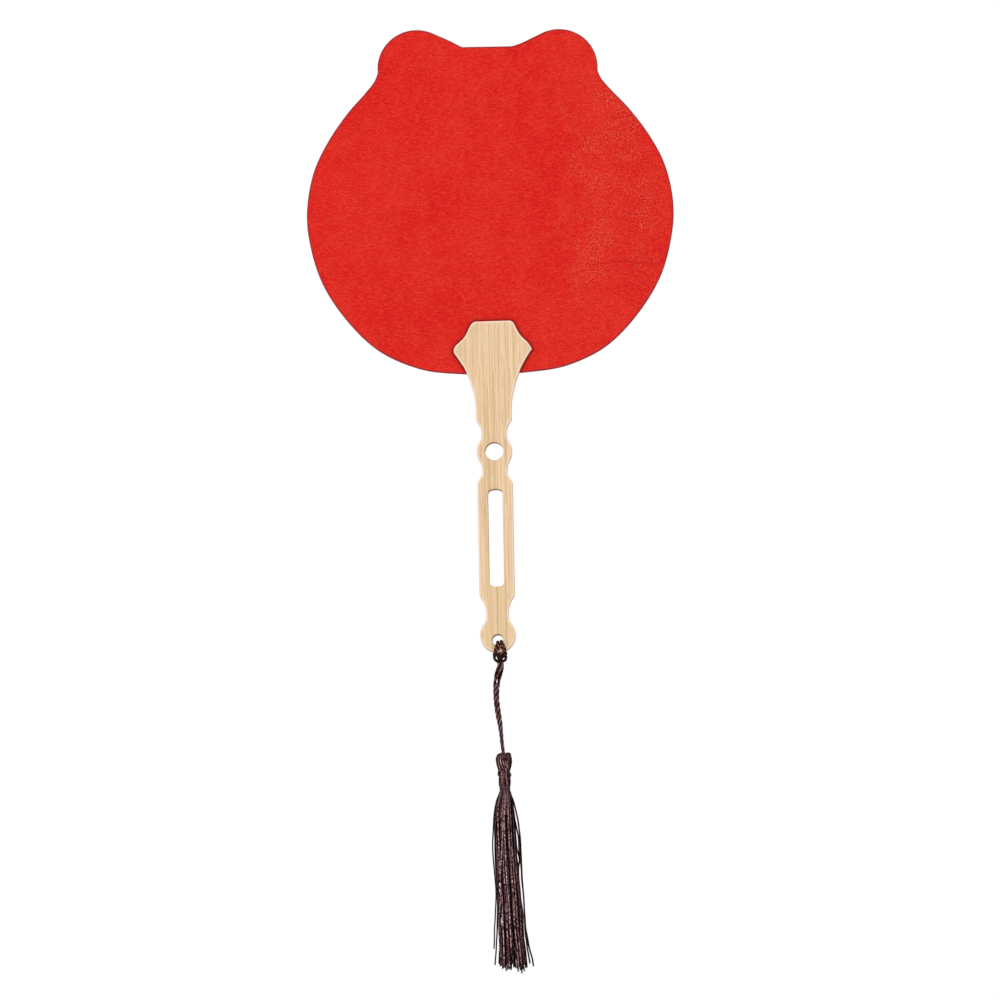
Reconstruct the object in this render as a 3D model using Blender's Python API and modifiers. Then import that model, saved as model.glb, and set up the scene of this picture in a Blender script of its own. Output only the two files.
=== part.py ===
"""Cat-shaped rigid hand fan: a paper-faced leaf held in a sawn bamboo handle,
with a lark's-head hitch, a twisted cord and a silk tassel under it.

Frame: metres, +Z up, the leaf lies in the XZ plane, the front faces -Y.
Origin: centre of the grip (middle of the long window, middle of the board).
All dimensions below are millimetres; MM turns them into metres.
"""
import math

import bpy
import bmesh
from mathutils import Matrix, Vector

MM = 0.001

# ------------------------------------------------------------------ dimensions
# handle: one laminated bamboo board, 200 x 46.8 x 5
HANDLE_T = 5.0            # board thickness
EDGE_R = 0.5              # sanded edge
HEAD_TOP_Z = 131.0
GRIP_HALF = 10.5          # half width of the grip
GRIP_TOP_Z = 33.4
GRIP_BOTTOM_Z = -34.0
DISC_Z = -58.4            # centre of the round end
DISC_R = 10.6
ROUND_WINDOW_Z = 52.3
ROUND_WINDOW_R = 5.45
LONG_WINDOW_HALF = 4.37
LONG_WINDOW_HALF_L = 29.4
LONG_WINDOW_END = 2.9     # height of the arched ends
HOLE_Z = -61.5            # tassel hole
HOLE_R = 3.3

# sawn slot in the head that takes the leaf
SLOT_HALF_T = 1.0
SLOT_FLOOR_Z = 98.8

# leaf: card core, a sheet of paper on each face, a thin strip round the rim
CORE_HALF_T = 0.52
PAPER_T = 0.22
GLUE_GAP = 0.08
STRIP_IN = 0.08           # gap between the board's rim and the strip
STRIP_T = 0.38
STRIP_HALF_W = 0.86
EAR_C = (42.5, 283.6)     # ear arc
EAR_R = 22.7
TOP_Z = 295.9             # flat between the ears
RAMP_DEG = 25.0           # slope from the flat up to the ear
TOP_CORNER_R = 5.0
LEAF_BOTTOM_Z = 98.5
# the leaf is cut by hand: how much higher its edge runs on each side, by height,
# and across the flat between the ears
LIFT_LEFT = ((98.5, 1.1), (110.0, 1.25), (150.0, 1.25), (199.0, 0.9), (230.0, 1.4), (262.0, 1.5), (284.0, 2.0))
LIFT_RIGHT = ((98.5, 1.1), (104.0, 0.7), (115.0, 0.5), (150.0, 0.2), (199.0, 0.0), (262.0, -0.2), (284.0, 0.2))
LIFT_TOP = ((-24.0, 2.0), (-14.0, 1.25), (14.0, 1.0), (22.0, 0.2))

# hitch and cord
STRAND_R = 0.8
HITCH_SHIFT = 1.0         # the hitch sits a little to one side
FACE_Y = HANDLE_T / 2 + STRAND_R + 0.15
CORD_TOP = (1.0, -0.3, -78.2)      # pivot of the cord under the hitch
CORD_END = (1.75, 0.0, -127.4)     # pivot above the tassel
CORD_R_TOP = 1.7
CORD_R_MID = 1.45
CORD_R_END = 0.95

# tassel, turned about an axis that leans a little
TASSEL_TOP = (1.85, 0.0, -130.0)
TASSEL_LEAN_DEG = 1.45
CROWN_R = 4.5
NECK_R = 2.85
BINDING_R_IN = 3.1
SKIRT_PIVOT = 25.4        # below TASSEL_TOP, along the axis
SKIRT_DOME_R = 3.3
SKIRT_LENGTH = 129.8      # end of the skirt, below TASSEL_TOP


# ---------------------------------------------------------------------- helpers
def clear_scene():
    for ob in list(bpy.data.objects):
        bpy.data.objects.remove(ob, do_unlink=True)


def new_collection(name):
    col = bpy.data.collections.new(name)
    bpy.context.scene.collection.children.link(col)
    return col


def make_material(name, rgb, roughness, metallic=0.0):
    mat = bpy.data.materials.new(name)
    mat.use_nodes = True
    shader = mat.node_tree.nodes["Principled BSDF"]
    shader.inputs["Base Color"].default_value = (*rgb, 1.0)
    shader.inputs["Roughness"].default_value = roughness
    shader.inputs["Metallic"].default_value = metallic
    mat.diffuse_color = (*rgb, 1.0)
    return mat


def catmull(points, step, before=None, after=None):
    """A smooth run through points, about one point every step, ends included."""
    pts = [Vector(p) for p in points]
    before = Vector(before) if before else 2 * pts[0] - pts[1]
    after = Vector(after) if after else 2 * pts[-1] - pts[-2]
    ring = [before, *pts, after]
    out = []
    for i in range(1, len(ring) - 2):
        p0, p1, p2, p3 = ring[i - 1:i + 3]
        # centripetal knots keep tight bends free of loops
        t1 = max((p1 - p0).length, 1e-6) ** 0.5
        t2 = t1 + max((p2 - p1).length, 1e-6) ** 0.5
        t3 = t2 + max((p3 - p2).length, 1e-6) ** 0.5
        n = max(1, math.ceil((p2 - p1).length / step))
        for k in range(n):
            t = t1 + (t2 - t1) * k / n
            a1 = p0 * (t1 - t) / t1 + p1 * t / t1
            a2 = p1 * (t2 - t) / (t2 - t1) + p2 * (t - t1) / (t2 - t1)
            a3 = p2 * (t3 - t) / (t3 - t2) + p3 * (t - t2) / (t3 - t2)
            b1 = a1 * (t2 - t) / t2 + a2 * t / t2
            b2 = a2 * (t3 - t) / (t3 - t1) + a3 * (t - t1) / (t3 - t1)
            out.append(b1 * (t2 - t) / (t2 - t1) + b2 * (t - t1) / (t2 - t1))
    out.append(pts[-1].copy())
    return out


def arc(cx, cz, r, a0, a1, n):
    """Points on a circle from angle a0 to a1 in degrees, both ends included."""
    return [
        Vector((cx + r * math.cos(math.radians(a0 + (a1 - a0) * k / n)),
                cz + r * math.sin(math.radians(a0 + (a1 - a0) * k / n))))
        for k in range(n + 1)
    ]


def mirrored(half):
    """Closed outline from a half that runs from the top centre to the bottom centre."""
    left = [Vector((-p.x, p.y)) for p in reversed(half) if p.x > 1e-6]
    ring = [*half, *left]
    out = [ring[0]]
    for p in ring[1:]:
        if (p - out[-1]).length > 0.02:
            out.append(p)
    return out


def offset(ring, d):
    """The closed outline moved outwards by d; ring runs clockwise."""
    out = []
    for i, p in enumerate(ring):
        a, b = ring[i - 1], ring[(i + 1) % len(ring)]
        t = (b - a).normalized()
        out.append(p + Vector((-t.y, t.x)) * d)
    return out


def plate(name, rings, y, half_t, mat, col, edge_r=0.0):
    """A flat plate in the XZ plane from closed outlines; inner ones are holes."""
    cu = bpy.data.curves.new(name, "CURVE")
    cu.dimensions = "2D"
    cu.fill_mode = "BOTH"
    cu.extrude = (half_t - edge_r) * MM
    if edge_r:
        cu.bevel_depth = edge_r * MM
        cu.bevel_resolution = 1
        cu.offset = -edge_r * MM
    for ring in rings:
        sp = cu.splines.new("POLY")
        sp.points.add(len(ring) - 1)
        for point, p in zip(sp.points, ring):
            point.co = (p.x * MM, p.y * MM, 0.0, 1.0)
        sp.use_cyclic_u = True
    cu.materials.append(mat)
    ob = bpy.data.objects.new(name, cu)
    ob.rotation_euler = (math.pi / 2, 0.0, 0.0)
    ob.location = (0.0, y * MM, 0.0)
    col.objects.link(ob)
    return ob


def curve_to_mesh(ob, col):
    """Replace a curve object with a welded mesh object of the same name."""
    bpy.context.view_layer.update()
    graph = bpy.context.evaluated_depsgraph_get()
    mesh = bpy.data.meshes.new_from_object(ob.evaluated_get(graph))
    bm = bmesh.new()
    bm.from_mesh(mesh)
    bmesh.ops.remove_doubles(bm, verts=bm.verts, dist=1e-6)
    bmesh.ops.recalc_face_normals(bm, faces=bm.faces)
    bm.to_mesh(mesh)
    bm.free()
    name, matrix = ob.name, ob.matrix_world.copy()
    bpy.data.objects.remove(ob, do_unlink=True)
    mesh.name = name
    new = bpy.data.objects.new(name, mesh)
    new.matrix_world = matrix
    col.objects.link(new)
    return new


def cut(target, cutter, cutters):
    for other in list(cutter.users_collection):
        other.objects.unlink(cutter)
    cutters.objects.link(cutter)
    cutter.hide_render = True
    cutter.display_type = "WIRE"
    mod = target.modifiers.new(cutter.name, "BOOLEAN")
    mod.operation = "DIFFERENCE"
    mod.solver = "EXACT"
    mod.object = cutter


def tube(name, path, radii, mat, col, sides=2):
    """A round cord as a poly curve with filled caps; origin at its first point."""
    origin = Vector(path[0])
    cu = bpy.data.curves.new(name, "CURVE")
    cu.dimensions = "3D"
    cu.bevel_depth = 1.0 * MM
    cu.bevel_resolution = sides
    cu.use_fill_caps = True
    sp = cu.splines.new("POLY")
    sp.points.add(len(path) - 1)
    for point, p, r in zip(sp.points, path, radii):
        q = Vector(p) - origin
        point.co = (q.x * MM, q.y * MM, q.z * MM, 1.0)
        point.radius = r
    sp.use_smooth = True
    cu.materials.append(mat)
    ob = bpy.data.objects.new(name, cu)
    ob.location = origin * MM
    col.objects.link(ob)
    return ob


def turned(name, profile, mat, col, parent, closed=False, steps=28):
    """A turned solid: profile points (r, z) run down the outer side."""
    mesh = bpy.data.meshes.new(name)
    verts = [(r * MM, 0.0, z * MM) for r, z in profile]
    edges = [(i, i + 1) for i in range(len(verts) - 1)]
    if closed:
        edges.append((len(verts) - 1, 0))
    mesh.from_pydata(verts, edges, [])
    mesh.materials.append(mat)
    ob = bpy.data.objects.new(name, mesh)
    col.objects.link(ob)
    ob.parent = parent
    screw = ob.modifiers.new("turn", "SCREW")
    screw.axis = "Z"
    screw.angle = 2 * math.pi
    screw.steps = screw.render_steps = steps
    screw.use_merge_vertices = True
    screw.merge_threshold = 1e-6
    screw.use_smooth_shade = True
    return ob


# --------------------------------------------------------------------- outlines
def between(table, v):
    """The value at v of a table of rising (place, value) pairs."""
    if v <= table[0][0]:
        return table[0][1]
    for (a, p), (b, q) in zip(table, table[1:]):
        if v <= b:
            t = (v - a) / (b - a)
            return p + (q - p) * t * t * (3 - 2 * t)
    return table[-1][1]


def hand_cut(p):
    if p.y > 286.0 and abs(p.x) < 30.0:
        lift = between(LIFT_TOP, p.x)
    else:
        lift = between(LIFT_LEFT if p.x < 0.0 else LIFT_RIGHT, p.y)
    return Vector((p.x, p.y + lift))


def leaf_outline(step=3.4):
    """Cat's head: flat crown, two round ears, wide cheeks, flattened chin."""
    ramp = math.radians(RAMP_DEG)
    # where the ramp leaves the ear arc
    ear = arc(*EAR_C, EAR_R, 90 + RAMP_DEG, -5, 20)
    tangent = ear[0]
    # the ramp meets the flat at a corner, which is rounded
    corner = Vector((tangent.x - (tangent.y - TOP_Z) / math.tan(ramp), TOP_Z))
    back = TOP_CORNER_R * math.tan(ramp / 2)
    round_c = arc(corner.x - back, TOP_Z + TOP_CORNER_R, TOP_CORNER_R, -90, -90 + RAMP_DEG, 3)
    flat = [Vector((0.0, TOP_Z)), Vector((round_c[0].x / 2, TOP_Z))]
    cheek = catmull(
        [
            (65.1, 281.6), (65.9, 279.0), (67.5, 275.8), (72.2, 270.1),
            (83.2, 258.1), (96.0, 240.0), (104.6, 221.9), (108.8, 199.0),
            (107.3, 179.6), (100.3, 155.5), (85.0, 131.4), (66.3, 113.3),
            (42.2, 102.4), (20.0, 99.2), (0.0, LEAF_BOTTOM_Z),
        ],
        step, before=(65.1, 284.0), after=(-20.0, 99.2),
    )
    return [hand_cut(p) for p in mirrored([*flat, *round_c, *ear[:-1], *cheek])]


def handle_outline(step=2.0):
    """Cloud-shaped head, stepped neck, round bulge, straight grip, round end."""
    head = catmull(
        [(10.4, HEAD_TOP_Z), (12.4, 130.0), (13.8, 127.3), (16.2, 122.6),
         (19.4, 119.0), (21.9, 116.7), (23.0, 115.0), (23.4, 113.5), (22.9, 112.2),
         (21.6, 110.6), (19.2, 106.9), (17.2, 103.3), (15.6, 99.7), (14.2, 96.0),
         (12.4, 90.0), (11.1, 84.0), (10.65, 78.5), (10.6, 72.0)],
        step, before=(8.0, HEAD_TOP_Z), after=(10.6, 70.0),
    )
    neck = catmull(
        [(10.3, 71.0), (9.1, 69.0), (8.0, 66.6), (7.55, 63.8), (7.8, 60.6),
         (8.9, 58.0), (10.1, 55.4), (10.45, 52.4), (10.1, 49.2), (9.0, 46.8),
         (7.9, 44.0), (7.45, 40.6), (7.6, 38.4), (8.6, 36.5), (9.8, 34.6), (10.4, 33.6)],
        step, after=(10.8, 32.8),
    )
    grip = [Vector((GRIP_HALF, GRIP_TOP_Z - 0.8)), Vector((GRIP_HALF, 11.0)),
            Vector((GRIP_HALF, -11.0)), Vector((GRIP_HALF, GRIP_BOTTOM_Z))]
    tail = catmull(
        [(10.1, -35.2), (9.0, -37.0), (7.8, -39.4), (6.8, -43.0), (6.6, -46.6), (6.9, -49.6)],
        step, before=(GRIP_HALF, -33.0),
    )
    start = math.degrees(math.acos(8.6 / DISC_R))
    disc = arc(0.0, DISC_Z, DISC_R, start, -90, 18)
    return mirrored([Vector((0.0, HEAD_TOP_Z)), *head, *neck, *grip, *tail, *disc])


def long_window():
    """Slot with arched ends."""
    a, b, straight = LONG_WINDOW_HALF, LONG_WINDOW_END, LONG_WINDOW_HALF_L - LONG_WINDOW_END
    ring = []
    for side in (1, -1):
        for k in range(13):
            t = math.pi * k / 12
            c, s = math.cos(t), math.sin(t)
            x = a * math.copysign(abs(c) ** 0.85, c)
            z = straight + b * abs(s) ** 0.85
            ring.append(Vector((side * x, side * z)))
    return ring


# ------------------------------------------------------------------ hitch route
def hitch_side():
    """One side of the lark's head: from the bight's lowest point out and up the
    front, through the hole, down the back and forward under the handle's end."""
    wall = HOLE_Z - math.sqrt(HOLE_R ** 2 - 1.0) + STRAND_R + 0.13
    lip, y = HANDLE_T / 2, FACE_Y
    return [
        (0.0, 1.0, -75.3), (1.4, 0.85, -75.05), (2.4, 0.3, -74.3), (3.25, -0.8, -73.1),
        (3.5, -2.1, -71.8), (3.4, -3.25, -70.4), (3.1, -y, -68.8), (2.5, -y, -66.7),
        (1.55, -y, -64.95), (1.15, -lip - 0.7, wall - 0.3), (1.0, -lip, wall),
        (1.0, 0.0, wall), (1.0, lip, wall), (1.0, lip + 0.7, wall - 0.3),
        (1.0, y, -65.1), (1.0, y, -67.6), (1.0, y - 0.05, -69.5), (0.98, 2.9, -70.5),
        (0.95, 1.9, -71.1), (0.92, 0.7, -71.3), (0.88, -0.4, -71.9), (0.86, -1.0, -73.1),
        (0.86, -1.0, -74.7), (0.86, -0.85, -76.0),
    ]


def shift(p):
    t = min(1.0, max(0.0, (-64.0 - p[2]) / 9.0))
    return (p[0] + HITCH_SHIFT * t * t * (3 - 2 * t), p[1], p[2])


def hitch_path():
    right = hitch_side()
    left = [(-x, y, z) for x, y, z in reversed(right[1:])]
    return catmull([shift(p) for p in (*left, *right)], 1.7)


def cord_path():
    """A limp twisted cord with a little set in it, hanging from the hitch."""
    way = [
        CORD_TOP, (0.15, -0.15, -82.2), (-0.7, 0.0, -86.4), (-1.25, 0.0, -91.5),
        (-1.3, 0.0, -98.5), (-0.65, 0.0, -104.8), (0.25, 0.0, -111.4),
        (0.95, 0.0, -118.0), (1.45, 0.0, -123.6), CORD_END,
    ]
    return catmull(way, 2.4)


def rounded_ends(path, radius_at):
    """Path and radii with a half ball at each end, centred on the end points."""
    pts, radii = [], []
    r0, r1 = radius_at(0.0), radius_at(1.0)
    d0 = (path[0] - path[1]).normalized()
    d1 = (path[-1] - path[-2]).normalized()
    for a in (82, 62, 42, 20):
        pts.append(path[0] + d0 * r0 * math.sin(math.radians(a)))
        radii.append(r0 * math.cos(math.radians(a)))
    n = len(path) - 1
    for i, p in enumerate(path):
        pts.append(p)
        radii.append(radius_at(i / n))
    for a in (20, 42, 62, 82):
        pts.append(path[-1] + d1 * r1 * math.sin(math.radians(a)))
        radii.append(r1 * math.cos(math.radians(a)))
    return pts, radii


def cord_radius(t):
    if t < 0.3:
        return CORD_R_TOP + (CORD_R_MID - CORD_R_TOP) * t / 0.3
    return CORD_R_MID + (CORD_R_END - CORD_R_MID) * (t - 0.3) / 0.7


# ----------------------------------------------------------------- turned parts
def crown_profile():
    """A short stem where the cord goes in, then a rounded cap of folded thread."""
    return [
        (0.0, 1.3), (0.7, 1.3), (0.9, 1.1), (0.9, 0.2), (2.6, -0.1), (3.7, -0.8), (4.3, -1.9),
        (CROWN_R, -3.4), (CROWN_R, -5.4), (4.25, -7.4), (3.8, -9.2), (3.3, -10.3),
        (2.8, -10.8), (0.0, -10.9),
    ]


def neck_profile():
    """The bound bundle: straight inside the upper winding, fuller below it, then
    pinched in by the lower winding."""
    return [
        (0.0, -11.2), (NECK_R - 0.2, -11.2), (NECK_R, -11.5), (NECK_R, -14.45),
        (3.12, -14.9), (3.3, -16.3), (3.3, -17.6), (3.15, -18.9), (2.8, -19.8),
        (2.3, -20.3), (2.2, -21.3), (2.0, -21.7), (0.0, -21.7),
    ]


def ridged_ring(r_in, r_out, z_top, z_bottom, turns):
    """A wound binding: smooth inside, one ridge for each turn outside."""
    pts = []
    pitch = (z_top - z_bottom) / turns
    for t in range(turns):
        mid = z_top - pitch * (t + 0.5)
        for k in range(5):
            a = math.pi / 2 - math.pi * (k + 0.5) / 5
            pts.append((r_out - pitch / 2 + pitch / 2 * math.cos(a), mid + pitch / 2 * math.sin(a)))
    pts.append((r_in, z_bottom + 0.05))
    pts.append((r_in, z_top - 0.05))
    return pts


def skirt_profile():
    s, r = -SKIRT_PIVOT, SKIRT_DOME_R
    dome = [(r * math.sin(math.radians(a)), s + r * math.cos(math.radians(a)))
            for a in (0, 18, 36, 54, 72, 88)]
    flare = [(4.7, -28.4), (6.0, -32.6), (7.4, -42.0), (8.3, -57.0), (8.1, -76.0),
             (8.8, -96.0), (10.2, -115.0), (10.8, -125.6), (10.4, 0.6 - SKIRT_LENGTH),
             (0.0, -SKIRT_LENGTH)]
    return dome + flare


# ------------------------------------------------------------------------ build
def build():
    clear_scene()
    parts = new_collection("cat_hand_fan")
    cutters = new_collection("cat_hand_fan_cutters")

    red = make_material("red_paper", (0.76, 0.024, 0.018), 0.85)
    card = make_material("grey_card", (0.55, 0.50, 0.43), 0.9)
    maroon = make_material("maroon_strip", (0.19, 0.02, 0.035), 0.7)
    bamboo = make_material("bamboo", (0.83, 0.62, 0.37), 0.55)
    silk = make_material("dark_silk", (0.045, 0.018, 0.022), 0.5)
    twine = make_material("dark_twine", (0.06, 0.025, 0.028), 0.55)

    # leaf
    outline = leaf_outline()
    paper_y = CORE_HALF_T + GLUE_GAP + PAPER_T / 2
    plate("leaf_core_board", [outline], 0.0, CORE_HALF_T, card, parts)
    plate("leaf_front_paper", [outline], -paper_y, PAPER_T / 2, red, parts)
    plate("leaf_back_paper", [outline], paper_y, PAPER_T / 2, red, parts)
    plate("leaf_edge_strip",
          [offset(outline, STRIP_IN + STRIP_T), offset(outline, STRIP_IN)],
          0.0, STRIP_HALF_W, maroon, parts)

    # handle: board with its three openings, then the saw cut for the leaf
    handle = plate(
        "handle",
        [handle_outline(), arc(0.0, ROUND_WINDOW_Z, ROUND_WINDOW_R, 0, 351, 39), long_window(),
         arc(0.0, HOLE_Z, HOLE_R, 0, 345, 23)],
        0.0, HANDLE_T / 2, bamboo, parts, edge_r=EDGE_R)
    handle = curve_to_mesh(handle, parts)
    bm = bmesh.new()
    bmesh.ops.create_cube(bm, size=1.0)
    depth = HEAD_TOP_Z + 5.0 - SLOT_FLOOR_Z
    bmesh.ops.scale(bm, verts=bm.verts, vec=(60 * MM, 2 * SLOT_HALF_T * MM, depth * MM))
    saw = bpy.data.meshes.new("saw_cut")
    bm.to_mesh(saw)
    bm.free()
    saw_cut = bpy.data.objects.new("saw_cut", saw)
    saw_cut.location = (0.0, 0.0, (SLOT_FLOOR_Z + depth / 2) * MM)
    parts.objects.link(saw_cut)
    cut(handle, saw_cut, cutters)

    # hitch: its origin is on the axis of the tassel hole
    path = hitch_path()
    hitch = tube("hanging_loop", path, [STRAND_R] * len(path), twine, parts)
    origin = Vector((0.0, 0.0, HOLE_Z * MM))
    move = hitch.location - origin
    for point in hitch.data.splines[0].points:
        point.co.x += move.x
        point.co.y += move.y
        point.co.z += move.z
    hitch.location = origin

    # cord, from pivot to pivot, with rounded ends that turn in place
    pts, radii = rounded_ends(cord_path(), cord_radius)
    cord = tube("tassel_cord", pts, radii, twine, parts)
    top = Vector(CORD_TOP) * MM
    move = cord.location - top
    for point in cord.data.splines[0].points:
        point.co.x += move.x
        point.co.y += move.y
        point.co.z += move.z
    cord.location = top

    # tassel: pieces are turned about a leaning axis
    axis = bpy.data.objects.new("tassel_axis", None)
    axis.location = Vector(TASSEL_TOP) * MM
    axis.rotation_euler = (0.0, -math.radians(TASSEL_LEAN_DEG), 0.0)
    parts.objects.link(axis)
    turned("tassel_crown", crown_profile(), silk, parts, axis)
    turned("tassel_neck",
           neck_profile(), silk, parts, axis)
    turned("crown_binding", ridged_ring(BINDING_R_IN, 3.95, -11.3, -14.3, 3), twine, parts, axis,
           closed=True)
    turned("neck_binding", ridged_ring(2.42, 2.84, -20.4, -21.6, 2), twine, parts, axis,
           closed=True, steps=24)
    turned("tassel_skirt", skirt_profile(), silk, parts, axis, steps=24)


build()
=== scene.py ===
"""Looks of a cat-shaped hand fan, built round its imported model.

Lengths are millimetres in the row frame until a mesh is made, where MM turns
them into metres: +Z up, the front faces -Y, origin at the centre of the grip.
"""
import math
import random

import bpy
import numpy as np
from mathutils import Matrix, Quaternion, Vector
from mathutils.geometry import delaunay_2d_cdt, tessellate_polygon


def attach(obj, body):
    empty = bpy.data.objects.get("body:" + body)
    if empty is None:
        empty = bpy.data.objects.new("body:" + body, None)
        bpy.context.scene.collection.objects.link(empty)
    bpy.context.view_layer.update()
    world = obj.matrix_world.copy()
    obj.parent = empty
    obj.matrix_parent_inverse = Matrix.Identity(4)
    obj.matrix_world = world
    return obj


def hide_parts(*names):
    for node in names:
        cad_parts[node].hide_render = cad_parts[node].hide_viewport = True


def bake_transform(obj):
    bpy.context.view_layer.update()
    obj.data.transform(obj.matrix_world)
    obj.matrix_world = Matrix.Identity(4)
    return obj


MM = 0.001
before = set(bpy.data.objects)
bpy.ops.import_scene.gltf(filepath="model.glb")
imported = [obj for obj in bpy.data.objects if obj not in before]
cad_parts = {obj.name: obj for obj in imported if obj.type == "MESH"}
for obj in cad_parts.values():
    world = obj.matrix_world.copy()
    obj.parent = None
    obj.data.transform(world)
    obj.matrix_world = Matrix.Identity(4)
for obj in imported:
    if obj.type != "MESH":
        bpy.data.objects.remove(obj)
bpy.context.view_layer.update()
scene = bpy.context.scene

# ------------------------------------------------- dimensions shared with the CAD
HANDLE_T = 5.0
HOLE_Z, HOLE_R = -61.5, 3.3
STRAND_R = 1.16
FACE_Y = HANDLE_T / 2 + STRAND_R + 0.05
CORD_TOP = Vector((1.0, -0.3, -78.2))
CORD_END = Vector((1.75, 0.0, -127.4))
TASSEL_TOP = Vector((1.85, 0.0, -130.0))
TASSEL_LEAN = math.radians(1.45)
TASSEL = Matrix.Translation(TASSEL_TOP) @ Matrix.Rotation(-TASSEL_LEAN, 4, "Y")


# ------------------------------------------------------------------------ camera
def make_camera():
    """Square to the fan but about ten degrees below it and a little to the right,
    from far off, rolled by a degree."""
    aim = Vector((0.0027, 0.0, 0.0231))
    az, el, far = math.radians(3.0), math.radians(-10.0), 16.0
    back = Vector((math.sin(az) * math.cos(el), -math.cos(az) * math.cos(el), math.sin(el)))
    data = bpy.data.cameras.new("camera")
    data.sensor_width = 36.0
    data.lens = 969.2
    data.clip_end = 80.0
    cam = bpy.data.objects.new("camera", data)
    scene.collection.objects.link(cam)
    cam.location = aim + back * far
    cam.rotation_mode = "QUATERNION"
    roll = Quaternion((0.0, 0.0, 1.0), math.radians(-1.05))
    cam.rotation_quaternion = (-back).to_track_quat("-Z", "Y") @ roll
    scene.camera = cam


# ------------------------------------------------------------------ node helpers
class Tree:
    """A material's node tree with short ways to add what the looks need."""

    def __init__(self, name):
        self.mat = bpy.data.materials.new(name)
        self.mat.use_nodes = True
        self.nodes = self.mat.node_tree.nodes
        self.links = self.mat.node_tree.links
        self.shader = self.nodes["Principled BSDF"]

    def _in(self, socket, value):
        if isinstance(value, bpy.types.NodeSocket):
            self.links.new(value, socket)
        elif value is not None:
            socket.default_value = value

    def mm(self):
        """The row frame's coordinates in millimetres."""
        coord = self.nodes.new("ShaderNodeTexCoord")
        scaled = self.nodes.new("ShaderNodeVectorMath")
        scaled.operation = "SCALE"
        scaled.inputs["Scale"].default_value = 1.0 / MM
        self.links.new(coord.outputs["Object"], scaled.inputs[0])
        return scaled.outputs[0]

    def uv(self):
        return self.nodes.new("ShaderNodeTexCoord").outputs["UV"]

    def split(self, vector):
        sep = self.nodes.new("ShaderNodeSeparateXYZ")
        self.links.new(vector, sep.inputs[0])
        return sep.outputs

    def join(self, x, y, z):
        com = self.nodes.new("ShaderNodeCombineXYZ")
        for socket, value in zip(com.inputs, (x, y, z)):
            self._in(socket, value)
        return com.outputs[0]

    def stretch(self, vector, x, y, z):
        mul = self.nodes.new("ShaderNodeVectorMath")
        mul.operation = "MULTIPLY"
        self.links.new(vector, mul.inputs[0])
        mul.inputs[1].default_value = (x, y, z)
        return mul.outputs[0]

    def math(self, op, a, b=None, c=None, clamp=False):
        n = self.nodes.new("ShaderNodeMath")
        n.operation = op
        n.use_clamp = clamp
        for socket, value in zip(n.inputs, (a, b, c)):
            self._in(socket, value)
        return n.outputs[0]

    def noise(self, vector, scale, detail=3.0, rough=0.55, distortion=0.0):
        n = self.nodes.new("ShaderNodeTexNoise")
        self.links.new(vector, n.inputs["Vector"])
        n.inputs["Scale"].default_value = scale
        n.inputs["Detail"].default_value = detail
        n.inputs["Roughness"].default_value = rough
        n.inputs["Distortion"].default_value = distortion
        return n.outputs["Fac"]

    def white(self, value):
        n = self.nodes.new("ShaderNodeTexWhiteNoise")
        n.noise_dimensions = "1D"
        self._in(n.inputs["W"], value)
        return n.outputs["Value"]

    def band(self, value, low, high, smooth=True):
        """0 below low, 1 above high; low may be the larger one."""
        n = self.nodes.new("ShaderNodeMapRange")
        n.interpolation_type = "SMOOTHSTEP" if smooth else "LINEAR"
        self._in(n.inputs["Value"], value)
        turn = low > high
        n.inputs["From Min"].default_value = min(low, high)
        n.inputs["From Max"].default_value = max(low, high)
        n.inputs["To Min"].default_value = 1.0 if turn else 0.0
        n.inputs["To Max"].default_value = 0.0 if turn else 1.0
        return n.outputs["Result"]

    def mix(self, factor, a, b, blend="MIX"):
        n = self.nodes.new("ShaderNodeMix")
        n.data_type = "RGBA"
        n.blend_type = blend
        self._in(n.inputs[0], factor)
        for socket, value in ((n.inputs[6], a), (n.inputs[7], b)):
            if isinstance(value, tuple):
                value = (*value, 1.0)
            self._in(socket, value)
        return n.outputs[2]

    def attribute(self, name):
        n = self.nodes.new("ShaderNodeAttribute")
        n.attribute_name = name
        return n.outputs["Fac"]

    def bump(self, height, strength, distance):
        n = self.nodes.new("ShaderNodeBump")
        n.inputs["Strength"].default_value = strength
        n.inputs["Distance"].default_value = distance
        self.links.new(height, n.inputs["Height"])
        self.links.new(n.outputs["Normal"], self.shader.inputs["Normal"])

    def finish(self, colour, roughness, specular=0.5):
        self._in(self.shader.inputs["Base Color"], colour)
        self._in(self.shader.inputs["Roughness"], roughness)
        self.shader.inputs["Specular IOR Level"].default_value = specular
        return self.mat


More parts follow.
